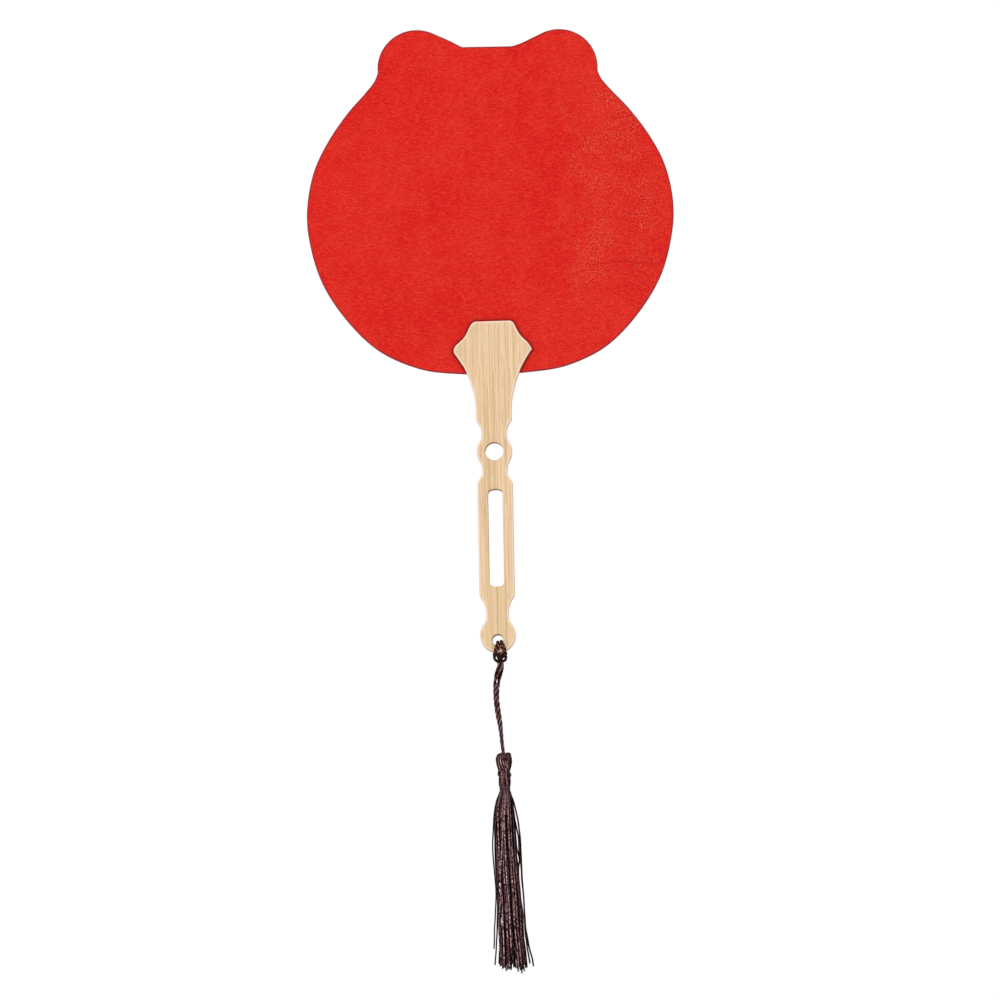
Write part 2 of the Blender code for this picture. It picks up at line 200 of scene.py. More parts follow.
# --------------------------------------------------------------------- materials
def paper_material(name, crease_at):
    """Red fibrous paper: cloudy dye, short matted fibres that lie mostly level,
    pale gold flecks that gather on the right, and painted shadow round the handle's head."""
    t = Tree(name)
    p = t.mm()
    x, y, z = t.split(p)
    cloud = t.noise(p, 0.020, 4.0, 0.6)
    patch = t.noise(p, 0.085, 3.0, 0.6)
    level = t.noise(t.stretch(p, 0.34, 1.0, 1.15), 1.0, 3.0, 0.65)
    grain = t.noise(t.stretch(p, 0.70, 1.0, 1.15), 1.35, 2.0, 0.7)
    colour = t.mix(t.band(cloud, 0.38, 0.62), (0.690, 0.0100, 0.0090), (0.735, 0.0190, 0.0135))
    colour = t.mix(t.math("MULTIPLY", t.band(patch, 0.46, 0.66), 0.45), colour, (0.745, 0.0350, 0.0180))
    dark = t.math("MULTIPLY", t.band(level, 0.50, 0.37), 0.44)
    colour = t.mix(dark, colour, (0.550, 0.0050, 0.0060))
    light = t.math("MULTIPLY", t.band(level, 0.50, 0.64), 0.44)
    colour = t.mix(light, colour, (0.830, 0.0560, 0.0370))
    colour = t.mix(t.math("MULTIPLY", t.band(grain, 0.51, 0.65), 0.34), colour, (0.840, 0.0850, 0.0480))
    colour = t.mix(t.math("MULTIPLY", t.band(grain, 0.48, 0.36), 0.30), colour, (0.540, 0.0050, 0.0060))
    # flecks, thick in some places and nearly absent in others
    speck = t.noise(t.stretch(p, 0.95, 1.0, 1.10), 1.15, 2.0, 0.65, 0.4)
    spread = t.noise(t.stretch(p, 0.9, 1.0, 1.3), 0.050, 3.0, 0.65)
    side = t.band(t.math("MULTIPLY_ADD", patch, 60.0, x), 66.0, 90.0)
    side = t.math("MULTIPLY", side, t.math("MULTIPLY_ADD", t.band(t.math("MULTIPLY_ADD", patch, 30.0, x), 118.0, 102.0),
                                           0.65, 0.35))
    height_in = t.math("MULTIPLY", t.band(t.math("MULTIPLY_ADD", patch, 50.0, z), 160.0, 200.0),
                       t.band(t.math("MULTIPLY_ADD", patch, 50.0, z), 305.0, 285.0))
    some = t.math("MULTIPLY", side, t.math("MULTIPLY_ADD", height_in, 0.78, 0.22))
    some = t.math("MULTIPLY_ADD", some, t.math("MULTIPLY_ADD", t.band(spread, 0.40, 0.60), 0.85, 0.15), 0.06, clamp=True)
    fleck = t.math("MULTIPLY", t.band(speck, 0.52, 0.66), some)
    colour = t.mix(t.math("MULTIPLY", fleck, 0.80), colour, (0.830, 0.1700, 0.0900))
    pit = t.math("MULTIPLY", t.band(speck, 0.47, 0.36), some)
    colour = t.mix(t.math("MULTIPLY", pit, 0.75), colour, (0.400, 0.0060, 0.0060))
    height = t.math("MULTIPLY_ADD", grain, 0.5, t.math("MULTIPLY", level, 0.7))
    if crease_at is not None:
        # a faint crease where the paper was folded before it was pasted down: its groove is in the bump, and the dark
        # line along it is painted shade
        wave = t.math("SINE", t.math("MULTIPLY", t.math("SUBTRACT", x, 60.0), 0.088))
        line = t.math("MULTIPLY_ADD", wave, 1.6, crease_at)
        off = t.math("ABSOLUTE", t.math("SUBTRACT", z, line))
        crease = t.math("MULTIPLY", t.band(off, 1.1, 0.2), t.band(x, 48.0, 64.0))
        crease = t.math("MULTIPLY", crease, t.band(x, 102.0, 92.0))
        crease = t.math("MULTIPLY", crease, t.band(level, 0.34, 0.50))
        # painted shade along the crease
        colour = t.mix(t.math("MULTIPLY", crease, 0.42), colour, (0.50, 0.006, 0.008))
        height = t.math("SUBTRACT", height, t.math("MULTIPLY", crease, 0.8))
    # painted shadow: the paper turns deep red close round the handle's head, which stands proud of the leaf
    painted_head_shadow = t.attribute("painted_head_shadow")
    colour = t.mix(painted_head_shadow, colour, (0.150, 0.0060, 0.0045))
    t.bump(height, 0.35, 0.00006)
    return t.finish(colour, t.math("MULTIPLY_ADD", level, 0.12, 0.78), 0.06)


# glue lines of the board: x, the heights between which each shows, and how dark
SEAMS = (
    (0.2, -69.0, 101.0, 1.00), (6.7, 18.0, 104.0, 0.70), (3.5, 30.0, 128.0, 0.40), (-3.5, -69.0, 92.0, 0.45),
    (-5.9, -38.0, 112.0, 0.55), (9.8, -36.0, 104.0, 0.60), (-8.2, 44.0, 106.0, 0.50), (-10.2, 96.0, 131.0, 0.85),
    (-2.1, 88.0, 131.0, 0.75), (-13.2, 98.0, 131.0, 0.45), (-15.7, 100.0, 124.0, 0.40), (9.2, 98.0, 131.0, 0.50),
    (12.5, 97.0, 128.0, 0.40), (5.6, -69.0, -24.0, 0.45), (16.2, 104.0, 123.0, 0.40),
)


def bamboo_material():
    """Laminated bamboo: narrow strips of slightly different tone, straight fibres
    along the handle, dark pores, rounded edges made paler partly by sanding and mostly
    by a painted highlight, and painted shade on the walls of the holes."""
    t = Tree("bamboo_laminate")
    p = t.mm()
    x, y, z = t.split(p)
    wander = t.math("MULTIPLY_ADD", t.noise(t.stretch(p, 0.0, 0.0, 0.018), 1.0, 1.0), 0.9, -0.45)
    across = t.math("ADD", x, wander)
    strips = t.noise(t.stretch(p, 0.62, 0.62, 0.008), 1.0, 1.0, 0.5)
    hue = t.noise(t.stretch(p, 0.38, 0.38, 0.007), 1.0, 1.0, 0.5)
    fibre = t.noise(t.stretch(p, 1.15, 1.15, 0.013), 1.0, 2.0, 0.6)
    fine = t.noise(t.stretch(p, 3.2, 3.2, 0.030), 1.0, 2.0, 0.6)
    pores = t.noise(t.stretch(p, 2.6, 2.6, 0.110), 1.0, 1.0, 0.5)
    colour = t.mix(t.band(hue, 0.40, 0.60), (0.786, 0.566, 0.308), (0.816, 0.543, 0.334))
    colour = t.mix(t.math("MULTIPLY", t.band(strips, 0.44, 0.60), 0.60), colour, (0.890, 0.664, 0.424))
    colour = t.mix(t.math("MULTIPLY", t.band(fibre, 0.49, 0.36), 0.52), colour, (0.640, 0.404, 0.226))
    colour = t.mix(t.math("MULTIPLY", t.band(fibre, 0.51, 0.66), 0.45), colour, (0.930, 0.728, 0.486))
    colour = t.mix(t.math("MULTIPLY", t.band(fine, 0.50, 0.38), 0.30), colour, (0.590, 0.372, 0.208))
    colour = t.mix(t.math("MULTIPLY", t.band(pores, 0.60, 0.70), 0.42), colour, (0.510, 0.310, 0.165))
    seam = None
    for at, low, high, depth in SEAMS:
        line = t.band(t.math("ABSOLUTE", t.math("SUBTRACT", across, at)), 0.42, 0.10)
        line = t.math("MULTIPLY", line, t.band(z, low, low + 5.0))
        line = t.math("MULTIPLY", line, t.band(z, high + 0.5, high - 4.5))
        line = t.math("MULTIPLY", line, depth)
        seam = line if seam is None else t.math("MAXIMUM", seam, line)
    broken = t.math("MULTIPLY", seam, t.math("MULTIPLY_ADD", t.band(fine, 0.34, 0.56), 0.5, 0.5))
    colour = t.mix(t.math("MULTIPLY", broken, 0.66), colour, (0.460, 0.275, 0.140))
    # painted highlight on the rounded edges, tinted pink as a painted reflection of the red paper; a little of it is
    # the paler wood that sanding leaves
    colour = t.mix(t.math("MULTIPLY", t.attribute("sanded_edge_and_highlight"), 0.80), colour, (0.985, 0.740, 0.570))
    # painted shade on the walls of the holes: strongest on the upper walls, which face down, and all through the cord's
    # hole
    hole_wall_shade = t.math("MULTIPLY", t.attribute("hole_wall_shade"), t.math("MULTIPLY_ADD", fine, 0.3, 0.74), clamp=True)
    colour = t.mix(hole_wall_shade, colour, (0.360, 0.235, 0.140))
    height = t.math("MULTIPLY_ADD", fine, 0.6, fibre)
    height = t.math("MULTIPLY_ADD", seam, -0.5, height)
    t.bump(height, 0.22, 0.00008)
    return t.finish(colour, t.math("MULTIPLY_ADD", fibre, 0.16, 0.46), 0.25)


def rim_material():
    """The thin maroon paper strip round the leaf."""
    t = Tree("maroon_rim_paper")
    p = t.mm()
    mottle = t.noise(p, 0.9, 4.0, 0.7)
    wear = t.noise(p, 0.12, 3.0, 0.6)
    colour = t.mix(mottle, (0.300, 0.018, 0.026), (0.420, 0.036, 0.040))
    colour = t.mix(t.math("MULTIPLY", t.band(wear, 0.50, 0.65), 0.5), colour, (0.520, 0.055, 0.055))
    t.bump(mottle, 0.3, 0.00004)
    return t.finish(colour, t.math("MULTIPLY_ADD", mottle, 0.15, 0.70), 0.08)


def card_material():
    """Raw grey card, seen only where the papers stop."""
    t = Tree("grey_card")
    p = t.mm()
    pulp = t.noise(t.stretch(p, 1.0, 6.0, 1.0), 0.8, 5.0, 0.75)
    colour = t.mix(pulp, (0.40, 0.355, 0.295), (0.60, 0.55, 0.475))
    t.bump(pulp, 0.4, 0.00006)
    return t.finish(colour, 0.9, 0.1)


def yarn_material(name, deep, mid, painted_highlight_colour, painted_highlight_amount=0.8, specular=0.05, ply=0.0):
    """Twisted yarn. u counts the yarns of a strand, whole numbers on their crests;
    v runs along it in millimetres. The tone attribute sets strands apart and also
    carries painted light and shade that the pieces lay on, and open is 1 where a
    strand faces out of its bundle and less where its neighbours hide it: the hidden
    sides get painted shade, the open ones a painted highlight. ply is how deep the
    painted shade in the grooves between the yarns is."""
    t = Tree(name)
    u, v, _ = t.split(t.uv())
    tone = t.attribute("tone")
    faces_out = t.attribute("open")
    place = t.math("MULTIPLY", tone, 171.0)
    crest = t.math("MULTIPLY_ADD", t.math("COSINE", t.math("MULTIPLY", u, 2 * math.pi)), 0.5, 0.5)
    far = t.noise(t.join(t.math("MULTIPLY", u, 0.15), t.math("MULTIPLY", v, 0.10), place), 1.0, 2.0, 0.6)
    near = t.noise(t.join(t.math("MULTIPLY", u, 0.5), t.math("MULTIPLY", v, 0.36), place), 1.0, 2.0, 0.7)
    hair = t.noise(t.join(t.math("MULTIPLY", u, 2.6), t.math("MULTIPLY", v, 0.6), place), 1.0, 2.0, 0.7)
    colour = t.mix(t.band(tone, 0.0, 1.0, smooth=False), deep, mid)
    colour = t.mix(t.math("MULTIPLY", t.band(near, 0.47, 0.38), 0.7), colour, tuple(c * 0.5 for c in deep))
    colour = t.mix(t.math("MULTIPLY", t.band(hair, 0.47, 0.36), 0.55), colour, tuple(c * 0.6 for c in deep))
    # painted highlight where a strand faces out of its bundle, broken up by noise
    painted_highlight = t.math("MULTIPLY", t.band(faces_out, 0.45, 0.92), t.band(near, 0.44, 0.56))
    if ply:
        # painted shade in the grooves between the yarns
        groove_shade = t.math("MULTIPLY", t.band(crest, 0.50, 0.06), ply)
        colour = t.mix(groove_shade, colour, tuple(c * 0.3 for c in deep))
        painted_highlight = t.math("MULTIPLY", painted_highlight, t.math("MULTIPLY_ADD", t.band(crest, 0.30, 0.85), ply, 1.0 - ply))
    # painted shade where neighbouring strands hide a strand
    colour = t.mix(t.math("MULTIPLY", t.band(faces_out, 0.62, 0.10), 0.95), colour, tuple(c * 0.3 for c in deep))
    painted_highlight = t.math("MULTIPLY", painted_highlight, t.math("MULTIPLY_ADD", t.band(hair, 0.42, 0.58), 0.6, 0.4))
    painted_highlight = t.math("MULTIPLY", painted_highlight, t.math("MULTIPLY_ADD", t.band(far, 0.42, 0.58), 0.45, 0.55))
    painted_highlight = t.math("MULTIPLY", painted_highlight, t.math("MULTIPLY_ADD", tone, 0.90, 0.10))
    # the painted highlight, laid on in its own colour and weakened where tone is low
    colour = t.mix(t.math("MULTIPLY", painted_highlight, painted_highlight_amount), colour, painted_highlight_colour)
    t.bump(t.math("MULTIPLY_ADD", crest, 0.1 + 0.8 * ply, t.math("MULTIPLY", hair, 0.5)), 0.6, 0.00012)
    return t.finish(colour, t.math("MULTIPLY_ADD", hair, 0.22, 0.36), specular)


# ----------------------------------------------------------------- curve helpers
def catmull(points, step, before=None, after=None):
    """A smooth run through points, about one point every step, ends included."""
    pts = [Vector(p) for p in points]
    before = Vector(before) if before else 2 * pts[0] - pts[1]
    after = Vector(after) if after else 2 * pts[-1] - pts[-2]
    ring = [before, *pts, after]
    out = []
    for i in range(1, len(ring) - 2):
        p0, p1, p2, p3 = ring[i - 1:i + 3]
        t1 = max((p1 - p0).length, 1e-6) ** 0.5
        t2 = t1 + max((p2 - p1).length, 1e-6) ** 0.5
        t3 = t2 + max((p3 - p2).length, 1e-6) ** 0.5
        n = max(1, math.ceil((p2 - p1).length / step))
        for k in range(n):
            t = t1 + (t2 - t1) * k / n
            a1 = p0 * (t1 - t) / t1 + p1 * t / t1
            a2 = p1 * (t2 - t) / (t2 - t1) + p2 * (t - t1) / (t2 - t1)
            a3 = p2 * (t3 - t) / (t3 - t2) + p3 * (t - t2) / (t3 - t2)
            b1 = a1 * (t2 - t) / t2 + a2 * t / t2
            b2 = a2 * (t3 - t) / (t3 - t1) + a3 * (t - t1) / (t3 - t1)
            out.append(b1 * (t2 - t) / (t2 - t1) + b2 * (t - t1) / (t2 - t1))
    out.append(pts[-1].copy())
    return out


def arc(cx, cz, r, a0, a1, n):
    return [Vector((cx + r * math.cos(math.radians(a0 + (a1 - a0) * k / n)),
                    cz + r * math.sin(math.radians(a0 + (a1 - a0) * k / n)))) for k in range(n + 1)]


def tidy(ring, least=0.02):
    out = [ring[0]]
    for p in ring[1:]:
        if (p - out[-1]).length > least:
            out.append(p)
    if (out[0] - out[-1]).length <= least:
        out.pop()
    return out


def joined(right, left):
    """Closed outline, clockwise: right half top to bottom, left half bottom to top."""
    return tidy([*right, *[Vector((-p.x, p.y)) for p in reversed(left)]])


def spaced(points, step):
    """The same line with its points an even step apart."""
    p = np.array([tuple(q) for q in points], float)
    s = np.concatenate([[0.0], np.cumsum(np.linalg.norm(np.diff(p, axis=0), axis=1))])
    at = np.linspace(0.0, s[-1], max(2, int(round(s[-1] / step)) + 1))
    return np.stack([np.interp(at, s, p[:, k]) for k in range(p.shape[1])], axis=1)


def smoothstep(a, b, x):
    t = np.clip((np.asarray(x, float) - a) / (b - a), 0.0, 1.0)
    return t * t * (3 - 2 * t)


# --------------------------------------------------------------------- mesh soup
class Soup:
    """Strands and sheets collected into one mesh, with a UV map and a tone each."""

    def __init__(self):
        self.verts, self.faces, self.uvs, self.tones, self.opens, self.count = [], [], [], [], [], 0

    def add(self, verts, faces, uvs, tone, faces_out=1.0):
        base = self.count
        self.verts.append(np.asarray(verts, float))
        self.faces += [tuple(i + base for i in f) for f in faces]
        self.uvs += uvs
        self.tones.append(np.full(len(verts), tone))
        self.opens.append(np.full(len(verts), faces_out))
        self.count += len(verts)

    def build(self, name, mat, matrix=None):
        v = np.concatenate(self.verts)
        if matrix is not None:
            m = np.array(matrix, float)
            v = v @ m[:3, :3].T + m[:3, 3]
        mesh = bpy.data.meshes.new(name)
        mesh.from_pydata((v * MM).tolist(), [], self.faces)
        layer = mesh.uv_layers.new(name="strand")
        layer.data.foreach_set("uv", np.asarray([c for f in self.uvs for c in f], np.float32).ravel())
        tone = mesh.attributes.new("tone", "FLOAT", "POINT")
        tone.data.foreach_set("value", np.concatenate(self.tones).astype(np.float32))
        faces_out = mesh.attributes.new("open", "FLOAT", "POINT")
        faces_out.data.foreach_set("value", np.concatenate(self.opens).astype(np.float32))
        mesh.polygons.foreach_set("use_smooth", [True] * len(mesh.polygons))
        mesh.materials.append(mat)
        mesh.validate()
        mesh.update()
        ob = bpy.data.objects.new(name, mesh)
        scene.collection.objects.link(ob)
        return ob


def sections(path, up=None):
    """Directions along a line, and two across it that don't spin about it."""
    p = np.asarray(path, float)
    t = np.gradient(p, axis=0)
    t /= np.linalg.norm(t, axis=1)[:, None]
    a = np.array(up if up is not None else (0.0, 1.0, 0.0), float)
    if abs(a @ t[0]) > 0.95:
        a = np.array((1.0, 0.0, 0.0))
    n = np.zeros_like(p)
    a = a - (a @ t[0]) * t[0]
    n[0] = a / np.linalg.norm(a)
    for i in range(1, len(p)):
        a = n[i - 1] - (n[i - 1] @ t[i]) * t[i]
        n[i] = a / np.linalg.norm(a)
    return p, t, n, np.cross(t, n)


def lobed(angle, lobes):
    """Radius of a bundle of round yarns that touch, for an outer radius of 1."""
    if lobes > 3:  # a soft bundle, only grooved
        return 1.0 - 0.24 * (1.0 - np.abs(np.cos(angle * lobes / 2)))
    rho, d = 0.56, 0.44
    half = math.pi / lobes
    b = np.abs((angle + half) % (2 * half) - half)
    inside = np.maximum(rho ** 2 - (d * np.sin(b)) ** 2, 0.0)
    return np.maximum(d * np.cos(b) + np.sqrt(inside), 0.34)


def strand(soup, path, radius, sides=8, lobes=0, lay=2.6, phase=0.0, tone=0.5, first=0, last=None,
           ends=(True, True), up=None, hub=None):
    """Sweeps a round or lobed section along path. lay is the length in which the
    lobes turn once, right-handed. Rings first to last are kept. hub gives the
    middle of the bundle beside each point, from which the open attribute is measured
    that places painted shade and painted highlight, and tone may be one number a point."""
    yarns = lobes or 2
    p, t, n, b = sections(path, up)
    r = np.broadcast_to(np.asarray(radius, float), (len(p),))
    s = np.concatenate([[0.0], np.cumsum(np.linalg.norm(np.diff(p, axis=0), axis=1))])
    last = len(p) if last is None else last
    around = np.arange(sides) / sides * 2 * math.pi
    rings, shown = [], []
    for i in range(first, last):
        turn = phase - 2 * math.pi * s[i] / lay
        shape = lobed(around - turn, lobes) if lobes else np.ones(sides)
        spoke = np.cos(around)[:, None] * n[i] + np.sin(around)[:, None] * b[i]
        rings.append(p[i] + spoke * (shape * r[i])[:, None])
        away = np.zeros(3) if hub is None else p[i] - hub[i]
        away = away - (away @ t[i]) * t[i]
        far_out = np.linalg.norm(away)
        shown.append(np.ones(sides) if far_out < 0.05 else spoke @ (away / far_out))
    count = len(rings)
    verts = np.concatenate(rings)
    faces, uvs = [], []
    along = s[first:last]
    slip = yarns * (along / lay - phase / (2 * math.pi))
    for i in range(count - 1):
        for j in range(sides):
            k = (j + 1) % sides
            faces.append((i * sides + j, i * sides + k, (i + 1) * sides + k, (i + 1) * sides + j))
            u0, u1 = yarns * j / sides, yarns * (j + 1) / sides
            a, b_ = slip[i], slip[i + 1]
            uvs.append([(u0 + a, along[i]), (u1 + a, along[i]), (u1 + b_, along[i + 1]), (u0 + b_, along[i + 1])])
    shown = np.concatenate(shown)
    tones = np.broadcast_to(np.asarray(tone, float), (len(p),))[first:last].repeat(sides)
    for at_end, wanted in ((0, ends[0]), (1, ends[1])):
        ring = (count - 1) * sides if at_end else 0
        i = last - 1 if at_end else first
        if wanted:  # a low dome
            tip = p[i] + t[i] * r[i] * (0.45 if at_end else -0.45)
        else:
            tip = p[i]
        mid = 0.5 * (rings[-1 if at_end else 0] - p[i]) + p[i] + (tip - p[i]) * 0.8
        base = len(verts)
        verts = np.concatenate([verts, mid * 1.0, tip[None]])
        shown = np.concatenate([shown, shown[ring:ring + sides], [0.5]])
        tones = np.concatenate([tones, tones[ring:ring + sides], [tones[ring]]])
        here, off = along[-1 if at_end else 0], slip[-1 if at_end else 0]
        for j in range(sides):
            k = (j + 1) % sides
            quad = (ring + j, ring + k, base + k, base + j)
            tri = (base + j, base + k, base + sides)
            if not at_end:
                quad, tri = quad[::-1], tri[::-1]
            faces.append(quad)
            faces.append(tri)
            u0, u1 = yarns * j / sides + off, yarns * (j + 1) / sides + off
            q = [(u0, here), (u1, here), (u1, here), (u0, here)]
            w = [(u0, here), (u1, here), (u0, here)]
            uvs.append(q if at_end else q[::-1])
            uvs.append(w if at_end else w[::-1])
    faces = [f[::-1] for f in faces]
    uvs = [c[::-1] for c in uvs]
    soup.add(verts, faces, uvs, tones, shown)


# ------------------------------------------------------------------------ handle
def handle_outline():
    """The CAD's outline with finer steps; the left shoulder is rounder than the
    right one, as sanding by hand leaves it."""
    neck_and_tail = [
        (10.3, 71.0), (9.1, 69.0), (8.0, 66.6), (7.55, 63.8), (7.8, 60.6),
        (8.9, 58.0), (10.1, 55.4), (10.45, 52.4), (10.1, 49.2), (9.0, 46.8),
        (7.9, 44.0), (7.45, 40.6), (7.6, 38.4), (8.6, 36.5), (9.8, 34.6), (10.4, 33.6),
    ]
    below = [(17.2, 103.3), (15.6, 99.7), (14.2, 96.0), (12.4, 90.0), (11.1, 84.0),
             (10.65, 78.5), (10.6, 72.0)]
    right_head = [(10.4, 131.0), (12.2, 130.3), (13.4, 128.4), (14.7, 125.6), (16.5, 122.4),
                  (18.9, 119.7), (20.9, 117.7), (22.2, 115.8), (23.0, 114.5), (23.35, 113.7),
                  (23.1, 112.9), (22.2, 111.7), (20.7, 109.4), (18.9, 106.4)]
    left_head = [(10.0, 130.9), (11.4, 130.3), (12.8, 128.9), (13.9, 126.8), (15.3, 124.0),
                 (17.0, 121.3), (19.2, 119.1), (21.4, 117.2), (22.7, 115.4), (23.25, 113.7),
                 (22.9, 112.1), (21.8, 110.4), (19.8, 107.4), (18.5, 105.3)]
    halves = []
    for head in (right_head, left_head):
        top = catmull([*head, *below], 0.7, before=(8.0, 131.05), after=(10.6, 70.0))
        neck = catmull(neck_and_tail, 0.7, after=(10.8, 32.8))
        grip = [Vector((10.5, z)) for z in (32.6, 22.0, 11.0, 0.0, -11.0, -22.0, -34.0)]
        tail = catmull([(10.1, -35.2), (9.0, -37.0), (7.8, -39.4), (6.8, -43.0), (6.6, -46.6),
                        (6.9, -49.6)], 0.7, before=(10.5, -33.0))
        disc = arc(0.0, -58.4, 10.6, math.degrees(math.acos(8.6 / 10.6)), -90, 40)
        halves.append([Vector((0.0, 131.0)), *top, *neck, *grip, *tail, *disc])
    return joined(*halves)


def round_window():
    """Drilled by eye: nearly round, with a nick on its left side."""
    ring = []
    for k in range(72):
        a = 2 * math.pi * k / 72
        d = abs((a - math.pi * 1.03 + math.pi) % (2 * math.pi) - math.pi)
        r = 5.42 + 0.42 * math.exp(-(d / 0.20) ** 2) + 0.05 * math.sin(3 * a + 0.6)
        ring.append(Vector((r * math.cos(a), 52.3 + r * math.sin(a))))
    return ring


def long_window():
    a, b, straight = 4.37, 2.9, 26.5
    ring = []
    for side in (1, -1):
        for k in range(31):
            t = math.pi * k / 30
            c, s = math.cos(t), math.sin(t)
            ring.append(Vector((side * a * math.copysign(abs(c) ** 0.85, c),
                                side * (straight + b * abs(s) ** 0.85))))
        ring.append(Vector((-side * a, side * 9.0)))
    return tidy(ring)


def pulled_in(ring, d):
    """The closed line moved towards the wood by d, less where a point is tight."""
    n = len(ring)
    area = sum(ring[i - 1].x * ring[i].y - ring[i].x * ring[i - 1].y for i in range(n))
    normals, room = [], []
    for i, p in enumerate(ring):
        a, b = ring[i - 1], ring[(i + 1) % n]
        t = (b - a).normalized()
        normals.append(Vector((t.y, -t.x)))
        a, b = ring[i - 2], ring[(i + 2) % n]
        u, w = p - a, b - p
        bend = u.x * w.y - u.y * w.x
        turn = math.asin(max(-1.0, min(1.0, bend / max(u.length * w.length, 1e-9))))
        tight = bend * (1 if area > 0 else -1) > 0
        room.append(0.8 * 0.5 * (u.length + w.length) / abs(turn) if abs(turn) > 1e-4 and tight else 1e3)
    room = [min(room[i - 2], room[i - 1], room[i], room[(i + 1) % n], room[(i + 2) % n]) for i in range(n)]
    steps = [min(d, r) for r in room]
    for _ in range(6):
        steps = [(steps[i - 1] + 2 * steps[i] + steps[(i + 1) % n]) / 4 for i in range(n)]
    return [p + q * k for p, q, k in zip(ring, normals, steps)]


def handle_piece(mat):
    outer = handle_outline()
    # holes run the other way round, so that pulled_in moves them into the wood
    holes = [list(reversed(tidy(h))) for h in (round_window(), long_window())]
    holes = [h if sum(h[i - 1].x * h[i].y - h[i].x * h[i - 1].y for i in range(len(h))) > 0
             else list(reversed(h)) for h in holes]
    bore = arc(0.0, HOLE_Z, HOLE_R, 0, 352.5, 47)
    loops = [outer, *holes, bore]
    verts, faces, caps = [], [], {"front": [], "back": []}
    rows_n = 6
    for index, ring in enumerate(loops):
        r = 0.75 if index == 0 else 0.42
        profile = [(r + (0.55 if index == 0 else 0.3), -HANDLE_T / 2)]
        profile += [(r * (1 - math.sin(math.pi / 2 * k / rows_n)),
                     -HANDLE_T / 2 + r * (1 - math.cos(math.pi / 2 * k / rows_n))) for k in range(rows_n + 1)]
        profile += [(d, -y) for d, y in reversed(profile)]
        first = len(verts)
        for d, y in profile:
            for p in pulled_in(ring, d):
                verts.append((p.x, y, p.y))
        n = len(ring)
        for k in range(len(profile) - 1):
            for i in range(n):
                j = (i + 1) % n
                a, b = first + k * n, first + (k + 1) * n
                faces.append((a + i, a + j, b + j, b + i))
        caps["front"].append(list(range(first, first + n)))
        end = first + (len(profile) - 1) * n
        caps["back"].append(list(range(end, end + n)))
    for side in ("front", "back"):
        ids = [i for ring in caps[side] for i in ring]
        flat = [[Vector((verts[i][0], verts[i][2], 0.0)) for i in ring] for ring in caps[side]]
        for tri in tessellate_polygon(flat):
            faces.append(tuple(ids[i] for i in tri))
    mesh = bpy.data.meshes.new("handle_board")
    mesh.from_pydata([(x * MM, y * MM, z * MM) for x, y, z in verts], [], faces)
    ob = bpy.data.objects.new("handle_board", mesh)
    scene.collection.objects.link(ob)
    fix_normals(mesh)
    # the saw cut that takes the leaf
    cx, cy, z0, z1 = 30 * MM, 1.0 * MM, 98.8 * MM, 136.0 * MM
    saw = bpy.data.meshes.new("saw_cut")
    corners = [(sx * cx, sy * cy, z) for z in (z0, z1) for sx, sy in ((-1, -1), (1, -1), (1, 1), (-1, 1))]
    saw.from_pydata(corners, [], [(0, 3, 2, 1), (4, 5, 6, 7), (0, 1, 5, 4), (1, 2, 6, 5), (2, 3, 7, 6), (3, 0, 4, 7)])
    tool = bpy.data.objects.new("saw_cut", saw)
    scene.collection.objects.link(tool)
    apply_cut(ob, tool)
    mesh = ob.data
    mesh.materials.clear()
    mesh.materials.append(mat)
    co = np.zeros(len(mesh.vertices) * 3, np.float32)
    mesh.vertices.foreach_get("co", co)
    x, y, z = (co.reshape(-1, 3) / MM).T
    y = np.abs(y)
    hole = ((np.abs(x) < 4.75) & (np.abs(z) < 30.0)) | (np.hypot(x, z - 52.3) < 6.3) | (np.hypot(x, z - HOLE_Z) < 3.75)
    # marks the rounded edges and the outline's rim, for the painted highlight and the paler sanding there
    sanded_edge_and_highlight = mesh.attributes.new("sanded_edge_and_highlight", "FLOAT", "POINT")
    rim = np.zeros(len(x), bool)
    for ring in (pulled_in(outer, 0.75), pulled_in(outer, 0.66)):
        for p in ring:
            rim |= np.hypot(x - p.x, z - p.y) < 0.05
    sanded_edge_and_highlight.data.foreach_set("value", (((y < HANDLE_T / 2 - 0.001) | rim) & ~hole).astype(np.float32))
    # painted shade for the hole walls: 0.3 on the lower walls, full on the upper walls and in the cord's hole
    hole_wall_shade = mesh.attributes.new("hole_wall_shade", "FLOAT", "POINT")
    top = np.where(z > 40.0, smoothstep(-0.1, 0.6, (z - 52.3) / 5.4), smoothstep(25.0, 28.5, z))
    top = np.where(z < -50.0, 1.0, 0.30 + 0.70 * top)
    hole_wall_shade.data.foreach_set("value", (((y < HANDLE_T / 2 - 0.30) & hole) * top).astype(np.float32))
    mesh.polygons.foreach_set("use_smooth", [True] * len(mesh.polygons))
    mesh.set_sharp_from_angle(angle=math.radians(38))
    mesh.update()
    return ob


def fix_normals(mesh):
    import bmesh
    bm = bmesh.new()
    bm.from_mesh(mesh)
    bmesh.ops.remove_doubles(bm, verts=bm.verts, dist=1e-7)
    bmesh.ops.recalc_face_normals(bm, faces=bm.faces)
    bm.to_mesh(mesh)
    bm.free()


def apply_cut(ob, tool):
    mod = ob.modifiers.new("saw", "BOOLEAN")
    mod.operation = "DIFFERENCE"
    mod.solver = "EXACT"
    mod.object = tool
    bpy.context.view_layer.update()
    graph = bpy.context.evaluated_depsgraph_get()
    mesh = bpy.data.meshes.new_from_object(ob.evaluated_get(graph))
    ob.modifiers.clear()
    ob.data = mesh
    bpy.data.objects.remove(tool, do_unlink=True)


